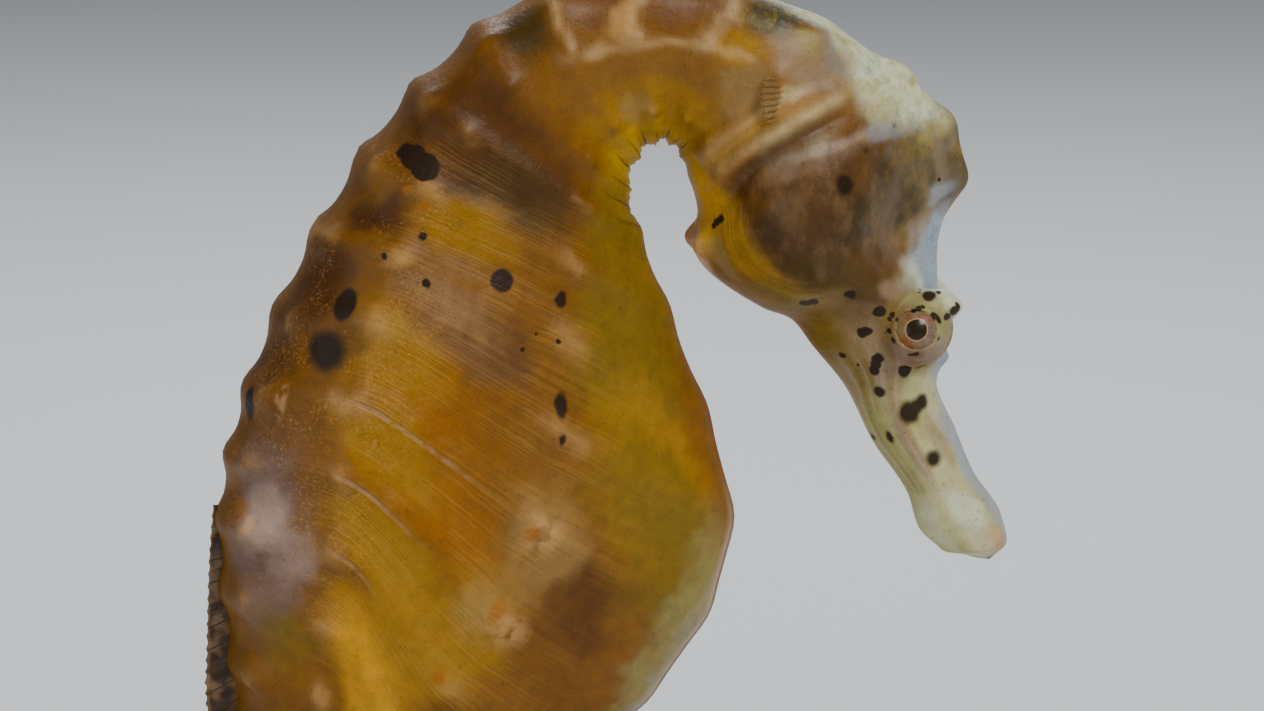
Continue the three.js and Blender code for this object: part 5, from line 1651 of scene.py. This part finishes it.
# %% Plinth
plinth_low, plinth_high = (np.array(corner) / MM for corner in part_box("stand_base"))
PLINTH_CORNER, CORNER_STEP = 12.0, 4.5
PLINTH_PROFILE = [  # inset and height in mm
    (2.4, 0), (0.9, 0), (0.25, 0.25), (0, 0.9), (0, 4.4), (0.15, 4.75), (0.5, 4.95), (1.3, 5.05), (1.5, 5.3),
    (1.55, 6.0), (1.75, 6.9), (2.2, 7.7), (2.9, 8.35), (3.9, 8.8), (5.2, 9.0),
]


def plinth_loop(inset):
    """A rounded rectangle, set in from the plinth's outline."""
    half = (plinth_high - plinth_low)[:2] / 2 - PLINTH_CORNER
    middle = (plinth_high + plinth_low)[:2] / 2
    turn = np.radians(np.arange(0, 91, CORNER_STEP))
    loop = []
    for quarter, (sx, sy) in enumerate(((1, 1), (-1, 1), (-1, -1), (1, -1))):
        angle = turn + quarter * math.pi / 2
        corner = middle + half * (sx, sy)
        arc = np.column_stack([np.cos(angle), np.sin(angle)])
        loop.append(corner + (PLINTH_CORNER - inset) * arc)
    return np.vstack(loop)


SHARP_EDGE = math.radians(35)


def lofted(name, loops):
    """A closed piece through loops of equal length, capped at both ends."""
    count = len(loops[0])
    faces = [list(range(count))[::-1], [len(loops) * count - count + n for n in range(count)]]
    for r in range(len(loops) - 1):
        for c in range(count):
            p, q = r * count + c, r * count + (c + 1) % count
            faces.append([p, q, q + count, p + count])
    mesh = mesh_from(name, np.vstack(loops), faces)
    mesh.shade_smooth()
    mesh.set_sharp_from_angle(angle=SHARP_EDGE)
    return new_object(name, mesh)


stretch = (plinth_high[2] - plinth_low[2]) / PLINTH_PROFILE[-1][1]
loops = []
for inset, rise in PLINTH_PROFILE:
    flat = plinth_loop(inset)
    loops.append(np.column_stack([flat, np.full(len(flat), plinth_low[2] + rise * stretch)]))
plinth = lofted("plinth", loops)
print("plinth faces:", len(plinth.data.polygons))

# %% [markdown]
# Walnut is dark brown with long, slightly wavering growth bands along the plank, and short open pores
# that follow the same direction. The end grain shows the bands as rings. All of it is one solid pattern
# that depends on the place in the wood, so the sides and the top agree, under a thin satin varnish.

# %% Walnut
WALNUT_DARK, WALNUT_LIGHT, WALNUT_SHADE, PORE = (52, 31, 19), (96, 61, 37), (74, 45, 26), (30, 17, 10)
BANDS = 9.0
wood, tree, shader = new_material("oiled walnut")
place = node(tree, "ShaderNodeTexCoord").outputs["Object"]
plank = vector_node(tree, "MULTIPLY", place, (7.0, 110.0, 150.0))
bands = math_node(tree, "PINGPONG", product(tree, noise(tree, plank, 1.0, 3.0, 0.55), BANDS), 0.5)
shade = noise(tree, vector_node(tree, "MULTIPLY", place, (16.0, 60.0, 60.0)), 1.0, 2.0)
along_plank = vector_node(tree, "MULTIPLY", place, (260.0, 3600.0, 3600.0))
pores = ramp(tree, noise(tree, along_plank, 1.0, 2.0), 0.6, 0.68)
brown = mix(tree, ramp(tree, bands, 0.05, 0.4), colour(*WALNUT_DARK), colour(*WALNUT_LIGHT))
brown = mix(tree, ramp(tree, shade, 0.35, 0.68), brown, colour(*WALNUT_SHADE))
brown = cover(tree, brown, pores, 0.75, PORE)
fill(tree, shader, {
    "Base Color": brown, "Roughness": scaled(tree, bands, 0.12, 0.36), "Coat Weight": 0.25,
    "Coat Roughness": 0.18,
})
wood_height = math_node(tree, "SUBTRACT", product(tree, bands, 0.3), pores)
add_bump(tree, shader, wood_height, strength=0.4, distance=0.00012)
print("walnut:", len(tree.nodes), "nodes")

# %% The plinth takes its place
plinth.data.materials.append(wood)
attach(plinth, "root")
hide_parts("stand_base")
print("plinth, in mm:", np.round(plinth_high - plinth_low, 1))

# %% [markdown]
# Each rod rises from a small turned collar and ends in a bead and a slim pin, which hides well under the
# animal. The pin's end is not flat: each of its points looks straight up for the skin and stops just
# under it, so that the animal rests on a shaped end.

# %% Brass rods
skin_above = BVHTree.FromPolygons((all_points * MM).tolist(), faces)
ROD_RADIUS, PIN_RADIUS, PIN_GAP, ROD_SINK = 1.5, 0.7, 0.04, 0.3
ROD_STEP = 7.5
HIGHEST_END = 0.6
COLLAR = [(2.9, 0.0), (2.9, 1.0), (2.75, 1.35), (2.35, 1.5), (1.95, 1.75), (1.75, 2.2)]  # radius, height
SHAFT_FOOT = [(ROD_RADIUS, 2.9), (ROD_RADIUS, 4.0)]
# The parts at the top are given as radius and drop: below the solid rod's top, and then below the skin.
BEAD = [(ROD_RADIUS, 5.6), (1.75, 5.4), (1.95, 5.0), (1.75, 4.6), (1.3, 4.3), (0.8, 3.7), (PIN_RADIUS, 3.0)]
PIN_END = [(PIN_RADIUS, 0.5), (PIN_RADIUS, 0.1), (PIN_RADIUS - 0.1, 0.0), (0.3, 0.0), (0.1, 0.0)]


def skin_over(x, y, limit):
    """The height of the skin over a place on the plinth, no higher than the limit."""
    hit = skin_above.ray_cast(Vector((x * MM, y * MM, (plinth_high[2] + 1) * MM)), Vector((0, 0, 1)))[0]
    return min(hit[2] / MM, limit) if hit is not None else limit


def brass_rod(name, node_name):
    low, high = (np.array(corner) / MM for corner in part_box(node_name))
    middle = np.array([(low[0] + high[0]) / 2, 0])
    top, foot = high[2], plinth_high[2] - ROD_SINK
    turn = np.radians(np.arange(0, 360, ROD_STEP))
    circle = np.column_stack([np.cos(turn), np.sin(turn)])
    profile = [(radius, foot + rise) for radius, rise in COLLAR + SHAFT_FOOT]
    profile += [(radius, top - drop) for radius, drop in BEAD]
    rows = [np.column_stack([middle + radius * circle, np.full(len(turn), z)]) for radius, z in profile]
    for radius, drop in PIN_END:
        flat = middle + radius * circle
        skin_height = np.array([skin_over(x, y, top + HIGHEST_END) for x, y in flat])
        rows.append(np.column_stack([flat, skin_height - PIN_GAP - drop]))
    return lofted(name, rows)


print("rod: %.0f mm thick, its pin %.1f mm" % (2 * ROD_RADIUS, 2 * PIN_RADIUS))

# %% [markdown]
# Polished brass has no colour under its gloss: what one sees is the room in a yellow mirror, so the
# shader is fully metallic. A mirror without a fault looks false, so the lathe has left fine rings round
# each rod, and a little tarnish makes some places darker and duller than others.

# %% Brass
BRASS_BRIGHT, BRASS_TARNISH, BRASS_LINE = (204, 164, 92), (150, 108, 54), (120, 88, 44)
brass, tree, shader = new_material("satin brass")
place = node(tree, "ShaderNodeTexCoord").outputs["Object"]
turning = noise(tree, vector_node(tree, "MULTIPLY", place, (300.0, 300.0, 9000.0)), 1.0, 2.0)
tarnish = noise(tree, place, 130.0, 4.0, 0.6)
gold = mix(tree, ramp(tree, tarnish, 0.45, 0.75), colour(*BRASS_BRIGHT), colour(*BRASS_TARNISH))
gold = cover(tree, gold, turning, 0.25, BRASS_LINE)
rough = scaled(tree, tarnish, 0.25, scaled(tree, turning, 0.12, 0.12))
fill(tree, shader, {"Base Color": gold, "Metallic": 1.0, "Roughness": rough})
add_bump(tree, shader, turning, strength=0.25, distance=0.00003)
for name in ("rod_body", "rod_tail"):
    rod_piece = brass_rod(name, f"stand_{name}")
    rod_piece.data.materials.append(brass)
    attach(rod_piece, "root")
    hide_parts(f"stand_{name}")
    print(name, "faces:", len(rod_piece.data.polygons))
